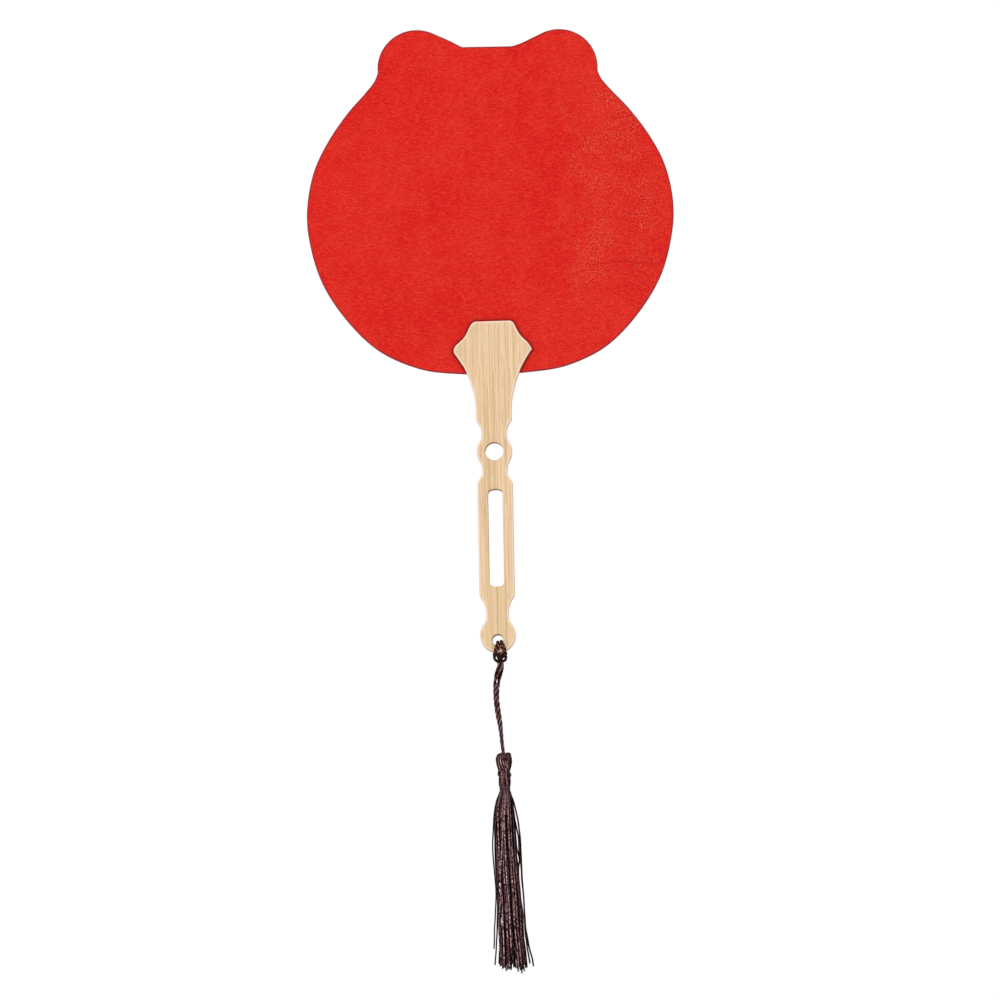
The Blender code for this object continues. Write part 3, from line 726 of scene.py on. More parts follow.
# -------------------------------------------------------------------------- leaf
def between(table, v):
    """The value at v of a table of rising (place, value) pairs."""
    if v <= table[0][0]:
        return table[0][1]
    for (a, p), (b, q) in zip(table, table[1:]):
        if v <= b:
            t = (v - a) / (b - a)
            return p + (q - p) * t * t * (3 - 2 * t)
    return table[-1][1]


def hand_cut(p):
    """The edge as it was cut by hand, up to 2 mm higher on the left."""
    if p.y > 286.0 and abs(p.x) < 30.0:
        lift = between(((-24.0, 2.0), (-14.0, 1.25), (14.0, 1.0), (22.0, 0.2)), p.x)
    elif p.x < 0.0:
        lift = between(((98.5, 1.1), (110.0, 1.25), (150.0, 1.25), (199.0, 0.9), (230.0, 1.4), (262.0, 1.5),
                        (284.0, 2.0)), p.y)
    else:
        lift = between(((98.5, 1.1), (104.0, 0.7), (115.0, 0.5), (150.0, 0.2), (199.0, 0.0), (262.0, -0.2),
                        (284.0, 0.2)), p.y)
    return Vector((p.x, p.y + lift))


def leaf_outline(step=1.3):
    """Cat's head: flat crown, two round ears, wide cheeks, flattened chin."""
    ramp = math.radians(25.0)
    ear = arc(42.5, 283.6, 22.7, 115, -5, 48)
    tangent = ear[0]
    corner = Vector((tangent.x - (tangent.y - 295.9) / math.tan(ramp), 295.9))
    back = 5.0 * math.tan(ramp / 2)
    round_c = arc(corner.x - back, 300.9, 5.0, -90, -65, 6)
    flat = [Vector((round_c[0].x * k / 8, 295.9)) for k in range(8)]
    slope = [round_c[-1].lerp(tangent, k / 8) for k in range(1, 8)]
    cheek = catmull(
        [(65.1, 281.6), (65.9, 279.0), (67.5, 275.8), (72.2, 270.1), (83.2, 258.1), (96.0, 240.0),
         (104.6, 221.9), (108.8, 199.0), (107.3, 179.6), (100.3, 155.5), (85.0, 131.4), (66.3, 113.3),
         (42.2, 102.4), (20.0, 99.2), (0.0, 98.5)], step, before=(65.1, 284.0), after=(-20.0, 99.2))
    half = [*flat, *round_c, *slope, *ear[:-1], *cheek]
    return [hand_cut(p) for p in joined(half, half)]


def paper_piece(name, side, mat):
    """A sheet of paper with a painted shadow round the place where the handle's head sits."""
    ring = leaf_outline(1.6)
    loop = handle_outline()
    top = [p for p in loop if p.y > 88.0]
    cut = max(range(len(top)), key=lambda i: (top[i] - top[i - 1]).length)
    head = spaced([tuple(p) for p in [*top[cut:], *top[:cut]]], 0.6)
    tangent = np.gradient(head, axis=0)
    tangent /= np.linalg.norm(tangent, axis=1)[:, None]
    normal = np.stack([-tangent[:, 1], tangent[:, 0]], axis=1)
    centre = np.array((0.0, 112.0))
    if ((head[len(head) // 2] - centre) * normal[len(head) // 2]).sum() < 0:
        normal = -normal
    edge = np.array([tuple(p) for p in ring])

    def within(q):
        a, b = edge, np.roll(edge, -1, axis=0)
        crosses = (a[:, 1] > q[1]) != (b[:, 1] > q[1])
        at = a[:, 0] + (q[1] - a[:, 1]) / np.where(crosses, b[:, 1] - a[:, 1], 1.0) * (b[:, 0] - a[:, 0])
        return (crosses & (at > q[0])).sum() % 2 == 1 and np.hypot(*(edge - q).T).min() > 0.45

    extra = []
    for d in (-0.9, 0.0, 0.30, 0.60, 0.95, 1.4, 2.1, 3.2, 4.8, 7.0):
        for q in (head + normal * d)[::1 if d < 1.6 else 2]:
            if within(q) and np.hypot(*(head - q).T).min() > 0.9 * abs(d) - 0.01:
                extra.append(q)
    for i in range(-9, 10):
        for k in range(19):
            q = np.array((i * 12.0 + (k % 2) * 6.0, 104.0 + k * 10.4))
            if within(q) and np.hypot(*(head - q).T).min() > 8.0:
                extra.append(q)
    points = [*ring, *[Vector(q) for q in extra]]
    verts2, _, faces2, *_ = delaunay_2d_cdt(points, [], [list(range(len(ring)))], 1, 1e-5)
    outer, inner = 0.82, 0.60
    n = len(verts2)
    verts = [(p.x * MM, side * outer * MM, p.y * MM) for p in verts2]
    verts += [(p.x * MM, side * inner * MM, p.y * MM) for p in verts2]
    faces = [tuple(f) for f in faces2] + [tuple(i + n for i in reversed(f)) for f in faces2]
    sides = {}
    for f in faces2:
        for a, b in zip(f, [*f[1:], f[0]]):
            sides[(a, b)] = True
    for a, b in list(sides):
        if (b, a) not in sides:
            faces.append((b, a, a + n, b + n))
    mesh = bpy.data.meshes.new(name)
    mesh.from_pydata(verts, [], faces)
    flat = np.array([tuple(p) for p in verts2])
    away = np.array([np.hypot(*(head - q).T).min() for q in flat])
    # painted shadow round the handle's head: strongest within about a millimetre of its outline, fading out over a few;
    # the inner face of each sheet gets none
    painted_head_shadow = 0.80 * np.exp(-(away / 1.05) ** 2) + 0.20 * np.exp(-(away / 2.8) ** 2)
    level = mesh.attributes.new("painted_head_shadow", "FLOAT", "POINT")
    level.data.foreach_set("value", np.concatenate([painted_head_shadow, painted_head_shadow * 0]).astype(np.float32))
    fix_normals(mesh)
    mesh.materials.append(mat)
    ob = bpy.data.objects.new(name, mesh)
    scene.collection.objects.link(ob)
    return ob


def rim_piece(mat):
    """A folded strip: it wraps the leaf's edge and turns a little way onto each
    paper."""
    ring = leaf_outline()
    n = len(ring)
    out = []
    for i, p in enumerate(ring):
        t = (ring[(i + 1) % n] - ring[i - 1]).normalized()
        out.append(Vector((-t.y, t.x)))
    section = [(-0.32, 0.830), (-0.34, 0.845), (-0.31, 0.862), (0.05, 0.885), (0.28, 0.875), (0.40, 0.81),
               (0.455, 0.66), (0.46, 0.0), (0.455, -0.66), (0.40, -0.81), (0.28, -0.875), (0.05, -0.885),
               (-0.31, -0.862), (-0.34, -0.845), (-0.32, -0.830), (0.03, -0.830), (0.06, -0.80),
               (0.06, 0.80), (0.03, 0.830)]
    m = len(section)
    rng = random.Random(11)
    sway = [rng.uniform(0, 2 * math.pi) for _ in range(4)]
    verts = []
    for i, (p, q) in enumerate(zip(ring, out)):
        a = 2 * math.pi * i / n
        # the lip is pasted by hand, so its width wanders by a few hundredths
        lip = 0.035 * math.sin(9 * a + sway[0]) + 0.03 * math.sin(23 * a + sway[1]) + 0.02 * math.sin(41 * a + sway[2])
        for d, y in section:
            if d < 0.0:
                d += lip
            verts.append(((p.x + q.x * d) * MM, y * MM, (p.y + q.y * d) * MM))
    faces = []
    for i in range(n):
        j = (i + 1) % n
        for k in range(m):
            l = (k + 1) % m
            faces.append((i * m + k, i * m + l, j * m + l, j * m + k))
    mesh = bpy.data.meshes.new("leaf_rim")
    mesh.from_pydata(verts, [], faces)
    fix_normals(mesh)
    mesh.materials.append(mat)
    mesh.polygons.foreach_set("use_smooth", [True] * len(mesh.polygons))
    mesh.set_sharp_from_angle(angle=math.radians(60))
    ob = bpy.data.objects.new("leaf_rim", mesh)
    scene.collection.objects.link(ob)
    return ob


# ------------------------------------------------------------------- hitch, cord
def hitch_half(side, spread, wall):
    """Half of the lark's head with its radius: from the bight's lowest point, behind
    the legs, out and up the front, through the hole and down the back, then forward
    under the handle's end. spread is how far apart the strands lie in the hole."""
    lip, a = HANDLE_T / 2, spread
    pts = [
        (0.0, 0.72, -74.4, 0.86), (1.3, 0.62, -74.25, 0.86), (2.5, 0.15, -73.7, 0.88), (3.25, -0.8, -72.8, 0.92),
        (3.38, -2.4, -71.7, 1.02), (3.08, -3.6, -70.4, 1.28), (2.68, -lip - 1.30, -68.6, 1.30),
        (1.82, -lip - 1.47, -66.4, 1.50), (a + 0.32, -lip - 1.40, -64.8, 1.42), (a + 0.05, -lip - 0.85, wall - 0.4, 1.08),
        (a, -lip, wall, 1.0), (a, 0.0, wall, 1.0), (a, lip, wall, 1.0), (a, lip + 0.8, wall - 0.35, 1.0),
        (1.1, lip + 1.12, -65.0, 1.08), (1.22, lip + 1.24, -67.2, 1.22), (1.28, lip + 1.38, -69.2, 1.36),
        (1.24, 2.7, -70.95, 1.34), (1.16, 1.2, -70.95, 1.22), (1.12, -0.4, -70.95, 1.24), (1.16, -1.6, -70.95, 1.30),
        (1.06, -1.9, -71.4, 1.22), (0.84, -1.6, -72.1, 1.02), (0.78, -1.25, -73.2, 0.98), (0.78, -1.05, -74.7, 1.00),
        (0.80, -0.9, -76.0, 1.00),
    ]
    return [(side * px, py, pz, r) for px, py, pz, r in pts]


def shift(p):
    """The knot has slid a little to the right of the hole's middle."""
    return (p[0] + float(np.interp(-p[2], [63.0, 66.5, 69.0, 71.0, 75.0], [1.0, 1.35, 1.32, 1.22, 1.22])), *p[1:])


def hitch_piece(mat):
    right = [shift(p) for p in hitch_half(1, 1.02, -62.45)]
    left = [shift(p) for p in reversed(hitch_half(-1, 1.02, -62.9)[1:])]
    path = spaced(catmull([*left, *right], 0.4), 0.26)
    s = np.linspace(0.0, 1.0, len(path))
    radius = path[:, 3] * (1.0 + 0.035 * np.sin(s * 41.0 + 0.7) + 0.02 * np.sin(s * 97.0))
    # painted light where it lies slack on the face, painted shade in the hole and under the handle
    z = -path[:, 2]
    front = smoothstep(0.5, -2.5, path[:, 1])
    tone = 0.10 + front * np.interp(z, [63.2, 65.2, 68.4, 70.2, 74.0], [0.0, 0.85, 0.65, 0.10, 0.05])
    soup = Soup()
    strand(soup, path[:, :3], radius, sides=21, lobes=3, lay=8.0, tone=tone)
    return soup.build("hitch_strand", mat)


def cord_way():
    """The centreline from inside the hitch to inside the tassel's crown."""
    return [
        (1.22, -1.03, -74.8), (1.33, -0.88, -76.0), (1.27, -0.55, -77.2), tuple(CORD_TOP), (0.5, -0.2, -79.8),
        (-0.2, -0.1, -82.2), (-0.75, 0.0, -84.6), (-1.2, 0.0, -87.0), (-1.5, 0.0, -90.4), (-1.62, 0.0, -94.4),
        (-1.50, 0.0, -98.4), (-1.08, 0.0, -102.2), (-0.6, 0.0, -106.0), (0.15, 0.0, -111.0), (0.72, 0.0, -116.0),
        (1.12, 0.0, -121.0), (1.42, 0.0, -124.6), tuple(CORD_END), (2.05, 0.0, -129.4), (2.3, 0.0, -131.6),
        (2.4, 0.0, -134.0),
    ]


def cord_pieces(mat):
    """The hitch's two legs, each of two yarns, side by side at the top, then all
    four yarns twisted right-handed into one cord. Cut in two where it rides on
    different bodies; the cut rings match."""
    way = spaced(catmull(cord_way(), 0.4), 0.24)
    p, t, n, b = sections(way, up=(0.0, 1.0, 0.0))
    s = np.concatenate([[0.0], np.cumsum(np.linalg.norm(np.diff(p, axis=0), axis=1))])
    z = -p[:, 2]
    # by height: yarn radius, legs' distance from the centreline, yarns' distance from their leg's middle
    at = [74.8, 76.2, 78.4, 80.0, 84.4, 86.5, 88.5, 91.0, 95.0, 104.0, 108.0, 112.0, 115.5, 119.0, 124.0, 134.0]
    yarn = np.interp(z, at, [0.60, 1.04, 0.88, 0.81, 0.78, 0.78, 0.88, 0.84, 0.78, 0.78, 0.75, 0.70, 0.58, 0.52, 0.51, 0.49])
    legs = np.interp(z, at, [0.80, 0.88, 0.95, 0.93, 1.02, 1.20, 0.92, 0.80, 0.73, 0.73, 0.69, 0.65, 0.53, 0.48, 0.46, 0.44])
    pair = np.interp(z, at, [0.30, 0.45, 0.60, 0.60, 0.58, 0.52, 0.78, 0.76, 0.73, 0.73, 0.69, 0.65, 0.53, 0.48, 0.46, 0.44])
    turn_length = np.interp(z, [74.8, 85.5, 87.5, 134.0], [600.0, 200.0, 15.2, 15.2])
    angle = -np.cumsum(2 * math.pi / turn_length * np.gradient(s))
    angle -= angle[0]
    within = math.pi * (0.5 + 1.15 * np.clip((87.0 - z) / 12.2, 0.0, 1.0))
    own = 0.6 * smoothstep(88.5, 85.0, z)
    cut = int(np.argmax(z > -(CORD_END.z + 2.6)))
    main, tail = Soup(), Soup()
    for k, (side, half) in enumerate(((1, 1), (1, -1), (-1, 1), (-1, -1))):
        toward = np.cos(angle)[:, None] * b + np.sin(angle)[:, None] * n
        beside = np.cos(angle + within)[:, None] * b + np.sin(angle + within)[:, None] * n
        line = p + side * toward * legs[:, None] + half * beside * pair[:, None]
        # hub is where open is measured from: it sets which sides of the yarns get painted shade and which painted
        # highlight
        hub = p + side * toward * (legs * own)[:, None]
        wobble = 1.0 + 0.04 * np.sin(s * 1.3 + 2.1 * k) + 0.025 * np.sin(s * 3.7 + k)
        common = dict(sides=16, lobes=5, lay=11.0, phase=1.1 * k, tone=(0.62, 0.45, 0.55, 0.75)[k], hub=hub)
        strand(main, line, yarn * wobble, last=cut + 1, ends=(True, False), **common)
        strand(tail, line, yarn * wobble, first=cut, ends=(False, True), **common)
    cord = main.build("twisted_cord", mat)
    end = tail.build("cord_tail", mat)
    return cord, end, p[:cut + 1]


# ------------------------------------------------------------------------ tassel
def crown_piece(mat):
    """Threads folded over the end of the cord: a broad bunch on the left that
    sweeps across the front, and a narrower one on the right."""
    rng = random.Random(5)
    heights = [-13.0, -11.4, -9.8, -8.2, -6.6, -5.0, -3.6, -2.4, -1.4]
    wide = [2.90, 3.10, 3.50, 3.95, 4.32, 4.48, 4.48, 4.38, 4.0]
    deep = [2.90, 3.05, 3.40, 3.80, 4.05, 4.10, 3.90, 3.40, 2.6]
    crest_x = [-4.4, -3.9, -3.3, -2.6, -2.0, -1.4, -0.8, 0.0, 0.8, 1.5, 2.2, 2.9, 3.6, 4.1, 4.5]
    crest_z = [-1.8, -0.5, 0.0, 0.25, 0.45, 0.6, 0.75, 0.8, 0.5, 0.4, 0.55, 0.6, 0.45, 0.0, -1.1]

    def thread(top_x, foot, rear_foot, scale, lift, radius, tone):
        front, rear = [], []
        for sign, low, out in ((-1, foot, front), (1, rear_foot, rear)):
            for z, w, d in zip(heights, wide, deep):
                w, d = w * scale, d * scale
                h = float(smoothstep(0.0, 1.0, (z + 13.0) / 9.2))
                x = (1 - h) * low + h * top_x * scale
                x = max(-w, min(w, x))
                y = d * math.sqrt(max(0.0, 1 - (x / w) ** 2))
                rise = lift * math.exp(-((z + 6.5) / 3.4) ** 2) if sign < 0 else 0.0
                out.append((x + 0.2 + rng.uniform(-0.06, 0.06), sign * (y + rise), z))
        crest = float(np.interp(top_x, crest_x, crest_z))
        top = (top_x * scale + 0.2, rng.uniform(-0.1, 0.1), crest - (1 - scale) * 3.6)
        path = spaced(catmull([*front, top, *reversed(rear)], 0.5), 0.40)
        hub = np.stack([np.full(len(path), 0.2), np.zeros(len(path)), np.minimum(path[:, 2], -4.5)], axis=1)
        # painted shade: tone falls towards the crown's sides and towards its top
        edge = np.clip(np.abs((path[:, 0] - 0.2) / 4.3), 0.0, 1.0)
        strand(soup, path, radius, sides=9, lay=30.0, phase=rng.uniform(0, 6.28),
               tone=0.72 * tone * (1.0 - 0.92 * smoothstep(0.62, 0.90, edge)) * (1.0 - 0.65 * smoothstep(-3.2, -0.6, path[:, 2])),
               hub=hub)

    soup = Soup()
    # the third number is each thread's tone: partly its own, partly painted light, high on the front of the left bunch
    # as painted highlight, low on the right bunch and the inner layers as painted shade
    # left bunch; its feet lie further right the nearer to the front they are
    left = ((-4.35, -2.85, 0.03), (-3.75, -2.5, 0.25), (-3.1, -1.7, 1.30), (-2.45, -0.8, 0.06), (-1.8, 0.1, 1.10),
            (-1.15, 1.0, 0.06), (-0.5, 1.8, 0.95), (0.2, 2.5, 0.10), (0.9, 2.9, 0.55))
    for k, (top_x, foot, tone) in enumerate(left):
        thread(top_x, foot, -2.6 + 0.5 * k, 1.0, 0.10 + 0.10 * k if k < 6 else 0.55, 0.40, tone)
    right = ((1.6, -1.9, 0.02), (2.25, -0.6, 0.35), (2.9, 0.8, 0.75), (3.5, 1.9, 0.15), (4.05, 2.5, 0.1), (4.5, 2.85, 0.02))
    for k, (top_x, foot, tone) in enumerate(right):
        thread(top_x, foot, 0.4 + 0.45 * k, 1.0, -0.25, 0.40, tone)
    for k in range(11):
        a = -3.9 + 0.85 * k
        thread(a, 2.2 - 0.45 * k, -2.2 + 0.45 * k, 0.82, 0.0, 0.42, rng.uniform(0.0, 0.12))
    for k in range(6):
        a = -2.6 + 1.1 * k
        thread(a, -1.4 + 0.5 * k, 1.4 - 0.5 * k, 0.52, 0.0, 0.46, 0.03)
    for k in range(7):
        thread(-2.4 + 0.8 * k, -0.6 + 0.2 * k, 0.6 - 0.2 * k, (0.28, 0.12)[k % 2], 0.0, 0.50, 0.03)
    return soup.build("crown_threads", mat, TASSEL)


def winding(soup, r, z0, z1, turns, thick, tone, seed, swell=0.0, tilt=0.0, start=0.0, shift_x=0.15):
    """A thread wound round the bundle, its two ends tucked in; swell is how far its
    middle turns stand out, tilt how much lower it lies on the right."""
    rng = random.Random(seed)
    n = int(turns * 40)
    pts = []
    for k in range(n + 1):
        f = k / n
        a = start + 2 * math.pi * turns * f
        tuck = 0.75 * (float(smoothstep(0.05, 0.0, f)) + float(smoothstep(0.95, 1.0, f)))
        rr = r - tuck + swell * math.sin(math.pi * f) + 0.05 * math.sin(3 * a + seed) + 0.03 * rng.uniform(-1, 1) * 0.3
        z = z0 + (z1 - z0) * f - tilt * math.cos(a) + 0.05 * math.sin(2.3 * a)
        pts.append((rr * math.cos(a) + shift_x, rr * math.sin(a), z))
    path = spaced(catmull(pts, 0.4), 0.3)
    hub = np.stack([np.full(len(path), shift_x), np.zeros(len(path)), path[:, 2]], axis=1)
    strand(soup, path, thick, sides=12, lay=4.0, tone=tone, hub=hub)


def neck_radius(z):
    return float(np.interp(-z, [11.2, 13.0, 14.6, 16.2, 17.6, 19.0, 20.0, 20.8, 21.7],
                           [2.70, 2.95, 3.18, 3.28, 3.24, 3.10, 2.90, 2.72, 2.70]))


def neck_piece(mat):
    """The bundle between the windings, and the threads that cross the upper
    winding in front."""
    rng = random.Random(8)
    soup = Soup()
    for ring, (count, scale, radius) in enumerate(((25, 1.0, 0.37), (16, 0.72, 0.38), (9, 0.42, 0.42), (3, 0.14, 0.42))):
        for k in range(count):
            a = 2 * math.pi * (k + 0.5 * (ring % 2)) / count + rng.uniform(-0.05, 0.05)
            lean = rng.uniform(-0.10, 0.16)
            pts = []
            for z in np.linspace(-11.6, -21.4, 12):
                r = neck_radius(z) * scale + 0.05 * math.sin(z * 1.1 + k * 1.7)
                b = a + lean * (z + 16) / 5
                pts.append((r * math.cos(b) + 0.15, r * math.sin(b), z))
            path = spaced(catmull(pts, 0.5), 0.45)
            squeeze = np.interp(-path[:, 2], [11.6, 14.5, 16.5, 18.6, 20.4, 21.4], [0.86, 0.90, 1.0, 0.98, 0.78, 0.76])
            # painted shade: threads of the inner rings and those at the sides are dark
            edge = abs(math.cos(a)) > 0.8
            hub = np.stack([np.full(len(path), 0.15), np.zeros(len(path)), path[:, 2]], axis=1)
            strand(soup, path, radius * squeeze, sides=8, lay=30.0, phase=rng.uniform(0, 6.28),
                   tone=0.03 if ring or edge else rng.uniform(0.10, 0.35), hub=hub)
    for k in range(9):
        x0 = -2.75 + 0.68 * k + rng.uniform(-0.08, 0.08)
        x1 = x0 * 0.96 + rng.uniform(-0.15, 0.25)
        pts = []
        for z, out in ((-10.5, 2.75), (-10.9, 3.50), (-11.5, 4.05), (-12.5, 4.22), (-13.6, 4.10), (-14.6, 3.75),
                       (-16.2, 3.62), (-18.2, 3.56), (-19.6, 3.32), (-20.3, 2.95), (-20.9, 2.45)):
            f = (-10.5 - z) / 10.4
            x = x0 * (1 - f) + x1 * f
            pts.append((x + 0.15, -math.sqrt(max(out * out - x * x, 0.1)), z))
        path = spaced(catmull(pts, 0.5), 0.40)
        hub = np.stack([np.full(len(path), 0.15), np.zeros(len(path)), path[:, 2]], axis=1)
        # tones paint the crossing threads: dark at both ends of the row as painted shade
        strand(soup, path, 0.37, sides=8, lay=30.0, phase=rng.uniform(0, 6.28),
               tone=(0.03, 0.22, 0.62, 0.50, 0.20, 0.20, 0.36, 0.16, 0.03)[k], hub=hub)
    return soup.build("neck_threads", mat, TASSEL)


SKIRT_AT = [20.6, 21.6, 22.8, 24.4, 26.8, 29.2, 31.6, 34.0, 37.0, 40.0, 47.0, 54.0, 61.0, 69.0, 76.0, 83.0, 90.0,
            97.0, 104.0, 112.0, 119.0, 125.0, 131.0]
SKIRT_HALF = [2.60, 2.80, 3.25, 3.75, 4.40, 4.90, 5.20, 5.45, 5.80, 6.00, 6.15, 6.20, 6.30, 6.50, 6.50, 6.60, 6.75,
              6.95, 7.10, 7.20, 7.65, 8.00, 8.05]
SKIRT_DEEP = [2.55, 2.60, 2.90, 3.25, 3.70, 4.10, 4.40, 4.75, 5.10, 5.30, 5.50, 5.60, 5.70, 5.90, 5.95, 6.10, 6.20,
              6.35, 6.50, 6.60, 6.90, 7.10, 7.20]
SKIRT_MIDDLE = [0.10, 0.05, -0.05, -0.15, -0.30, -0.50, -0.70, -0.85, -0.95, -0.95, -1.05, -0.95, -0.85, -0.65, -0.55,
                -0.30, -0.10, -0.10, -0.10, 0.20, 0.30, 0.35, 0.45]
# places where threads part and show what is behind: x, depth, half its height, half its width
SLITS = ((-5.7, 80.0, 8.0, 0.29), (-5.45, 100.5, 6.0, 0.22))


def parted(x, d):
    for at, mid, tall, wide in SLITS:
        need = (wide + 0.46) * max(0.0, 1.0 - ((d - mid) / tall) ** 2)
        off = x - at
        if need > 0 and abs(off) < 2 * need:
            x = at + math.copysign(need + abs(off) * 0.5, off)
    return x


def skirt_piece(mat):
    """Loose two-ply threads from under the lower winding, each with its own set,
    length and tip, and a few that stand away from the rest."""
    rng = random.Random(23)
    soup = Soup()

    def place(z, fx, fy):
        d = -z
        return (np.interp(d, SKIRT_AT, SKIRT_MIDDLE) + fx * np.interp(d, SKIRT_AT, SKIRT_HALF),
                fy * np.interp(d, SKIRT_AT, SKIRT_DEEP))

    threads = []
    for ring, (count, f) in enumerate(((25, 0.97), (20, 0.79), (13, 0.58), (8, 0.36), (3, 0.14))):
        for k in range(count):
            a = 2 * math.pi * (k + 0.5 * (ring % 2)) / count + rng.uniform(-0.05, 0.05)
            threads.append((a, f + rng.uniform(-0.05, 0.03), ring))
    for index, (a, f, ring) in enumerate(threads):
        across = 8.0 * f * math.cos(a) + 0.4
        length = float(np.interp(across, [-8.0, -6.0, -3.0, 0.5, 2.6, 3.6, 4.4, 6.0, 9.0],
                                 [126.2, 128.8, 129.6, 128.2, 128.8, 131.8, 131.2, 129.6, 128.6]))
        length += rng.uniform(-2.2, 0.6) - (0.9 if ring else 0.0)
        if rng.random() < 0.08:
            length -= rng.uniform(2.0, 8.0)
        drift = rng.uniform(-0.13, 0.13)
        amp, wave, ph = rng.uniform(0.01, 0.045), rng.uniform(26, 60), rng.uniform(0, 6.28)
        amp2, wave2, ph2 = rng.uniform(0.005, 0.02), rng.uniform(9, 17), rng.uniform(0, 6.28)
        line = []
        for z in [-20.6, -21.3, -22.0, -23.2, -24.8, -27, -30, -34, *np.arange(-38, -length + 2.0, -4.0), -length]:
            free = float(smoothstep(22.0, 60.0, -z))
            b = a + drift * free
            g = f + free * (amp * math.sin(-z / wave * 6.28 + ph) + amp2 * math.sin(-z / wave2 * 6.28 + ph2))
            side = free * amp * 0.9 * math.sin(-z / wave * 5.1 + ph * 1.7)
            x, y = place(z, g * math.cos(b) - side * math.sin(b), g * math.sin(b) + side * math.cos(b))
            line.append((parted(float(x), -z), y, z))
        # outer threads take a tone at random; further in they are darker, painted shade inside the bundle
        tone = (rng.uniform(0.35, 1.0), rng.uniform(0.05, 0.40), 0.08, 0.02, 0.02)[ring]
        if ring == 0 and 13 <= index <= 24:
            tone = (0.2, 0.55, 0.40, 1.0, 0.10, 0.60, 0.85, 0.30, 0.90, 0.45, 0.35, 0.3)[index - 13]
        lay_out(soup, line, rng.uniform(0.41, 0.48), tone, rng)
    # threads that hang clear of the bundle
    start_r, start_l = [(2.1, -0.3, -20.8), (2.3, -0.5, -22)], [(-1.9, -0.5, -20.8), (-2.1, -0.7, -22)]
    strays = [
        [*start_r, (3.3, -0.8, -24.4), (4.75, -1.0, -28.2), (5.5, -1.0, -31.6), (5.98, -1.0, -34), (6.5, -0.9, -37),
         (7.02, -0.8, -40), (7.35, -0.7, -43.6), (7.62, -0.6, -47.2), (7.88, -0.5, -50.8), (7.95, -0.5, -58),
         (7.97, -0.5, -68), (7.95, -0.5, -74), (8.15, -0.6, -80), (8.42, -0.6, -87), (8.48, -0.7, -94),
         (8.68, -0.7, -101), (8.75, -0.6, -105), (9.25, -0.5, -108.6), (9.75, -0.5, -112), (10.15, -0.4, -115.6),
         (10.85, -0.3, -119.2), (11.75, -0.2, -122.8), (12.2, -0.2, -126), (12.45, -0.2, -128.2)],
        [(1.7, -0.9, -20.8), (1.9, -1.2, -22), (3.6, -2.4, -28), (4.7, -2.9, -34), (5.3, -3.0, -40), (6.25, -2.6, -46),
         (6.98, -2.2, -50.8), (7.02, -2.0, -54.4), (7.1, -1.8, -60), (7.55, -1.6, -65), (7.86, -1.5, -70),
         (7.85, -1.5, -77), (8.36, -1.4, -84), (8.50, -1.4, -90), (8.45, -1.3, -99), (8.5, -1.2, -108), (8.85, -1.0, -112),
         (9.15, -1.0, -115.6), (9.5, -0.9, -119.2), (10.0, -0.8, -122.8), (10.4, -0.8, -126.6)],
        [(1.7, 0.8, -20.8), (1.9, 1.0, -22), (3.6, 1.6, -28), (4.7, 1.9, -36), (5.2, 1.8, -50), (5.6, 1.6, -57),
         (6.6, 1.5, -61.8), (6.72, 1.5, -64.2), (6.05, 1.5, -69), (5.95, 1.5, -78), (6.6, 1.5, -88), (7.3, 1.5, -95), (7.2, 1.3, -106), (7.6, 1.3, -117),
         (8.2, 1.0, -125)],
        [*start_l, (-3.85, -1.3, -25), (-5.2, -1.5, -28.4), (-6.1, -1.6, -32), (-7.0, -1.5, -37), (-7.65, -1.4, -43.6),
         (-8.35, -1.1, -50.8), (-8.62, -1.0, -55), (-8.68, -0.9, -59), (-8.5, -0.8, -65), (-8.15, -0.8, -72),
         (-7.85, -0.8, -79), (-7.85, -0.8, -84), (-8.3, -0.8, -90.4), (-8.68, -0.8, -94), (-8.95, -0.8, -97.6),
         (-9.3, -0.8, -101.2), (-9.7, -0.8, -104.8), (-9.9, -0.7, -108.4), (-10.1, -0.7, -112), (-10.55, -0.6, -116.6)],
        [(-1.6, 0.6, -20.8), (-1.8, 0.8, -22), (-4.5, 1.3, -28), (-6.3, 1.4, -36), (-7.1, 1.2, -46), (-7.15, 1.0, -58),
         (-7.2, 1.0, -70), (-7.2, 1.1, -80), (-7.3, 1.0, -90), (-7.9, 0.9, -100), (-8.2, 0.9, -105), (-8.55, 0.9, -109),
         (-8.95, 0.8, -113), (-9.4, 0.8, -118), (-10.0, 0.8, -122.8), (-10.45, 0.8, -126.2)],
        [(-1.0, -1.6, -20.8), (-1.2, -2.0, -22), (-3.2, -3.2, -29), (-5.6, -3.8, -40), (-6.9, -3.6, -52), (-7.3, -3.2, -66),
         (-6.9, -3.0, -80), (-7.1, -3.0, -94), (-7.0, -2.8, -106), (-6.9, -2.6, -112), (-7.1, -2.6, -117), (-7.5, -2.4, -122), (-7.8, -2.4, -126)],
        [(0.6, -1.7, -20.8), (0.7, -2.0, -22), (0.2, -4.0, -30), (-1.6, -5.3, -44), (-3.2, -5.8, -60), (-4.6, -5.6, -76),
         (-4.7, -5.2, -86), (-6.3, -4.8, -98), (-6.7, -4.6, -112), (-7.0, -4.2, -119)],
    ]
    for k, line in enumerate(strays):
        lay_out(soup, line, (0.50, 0.50, 0.45, 0.42, 0.45, 0.45, 0.45)[k], (0.10, 0.08, 0.2, 0.2, 0.2, 0.15, 0.9)[k], rng)
    return soup.build("skirt_threads", mat, TASSEL)


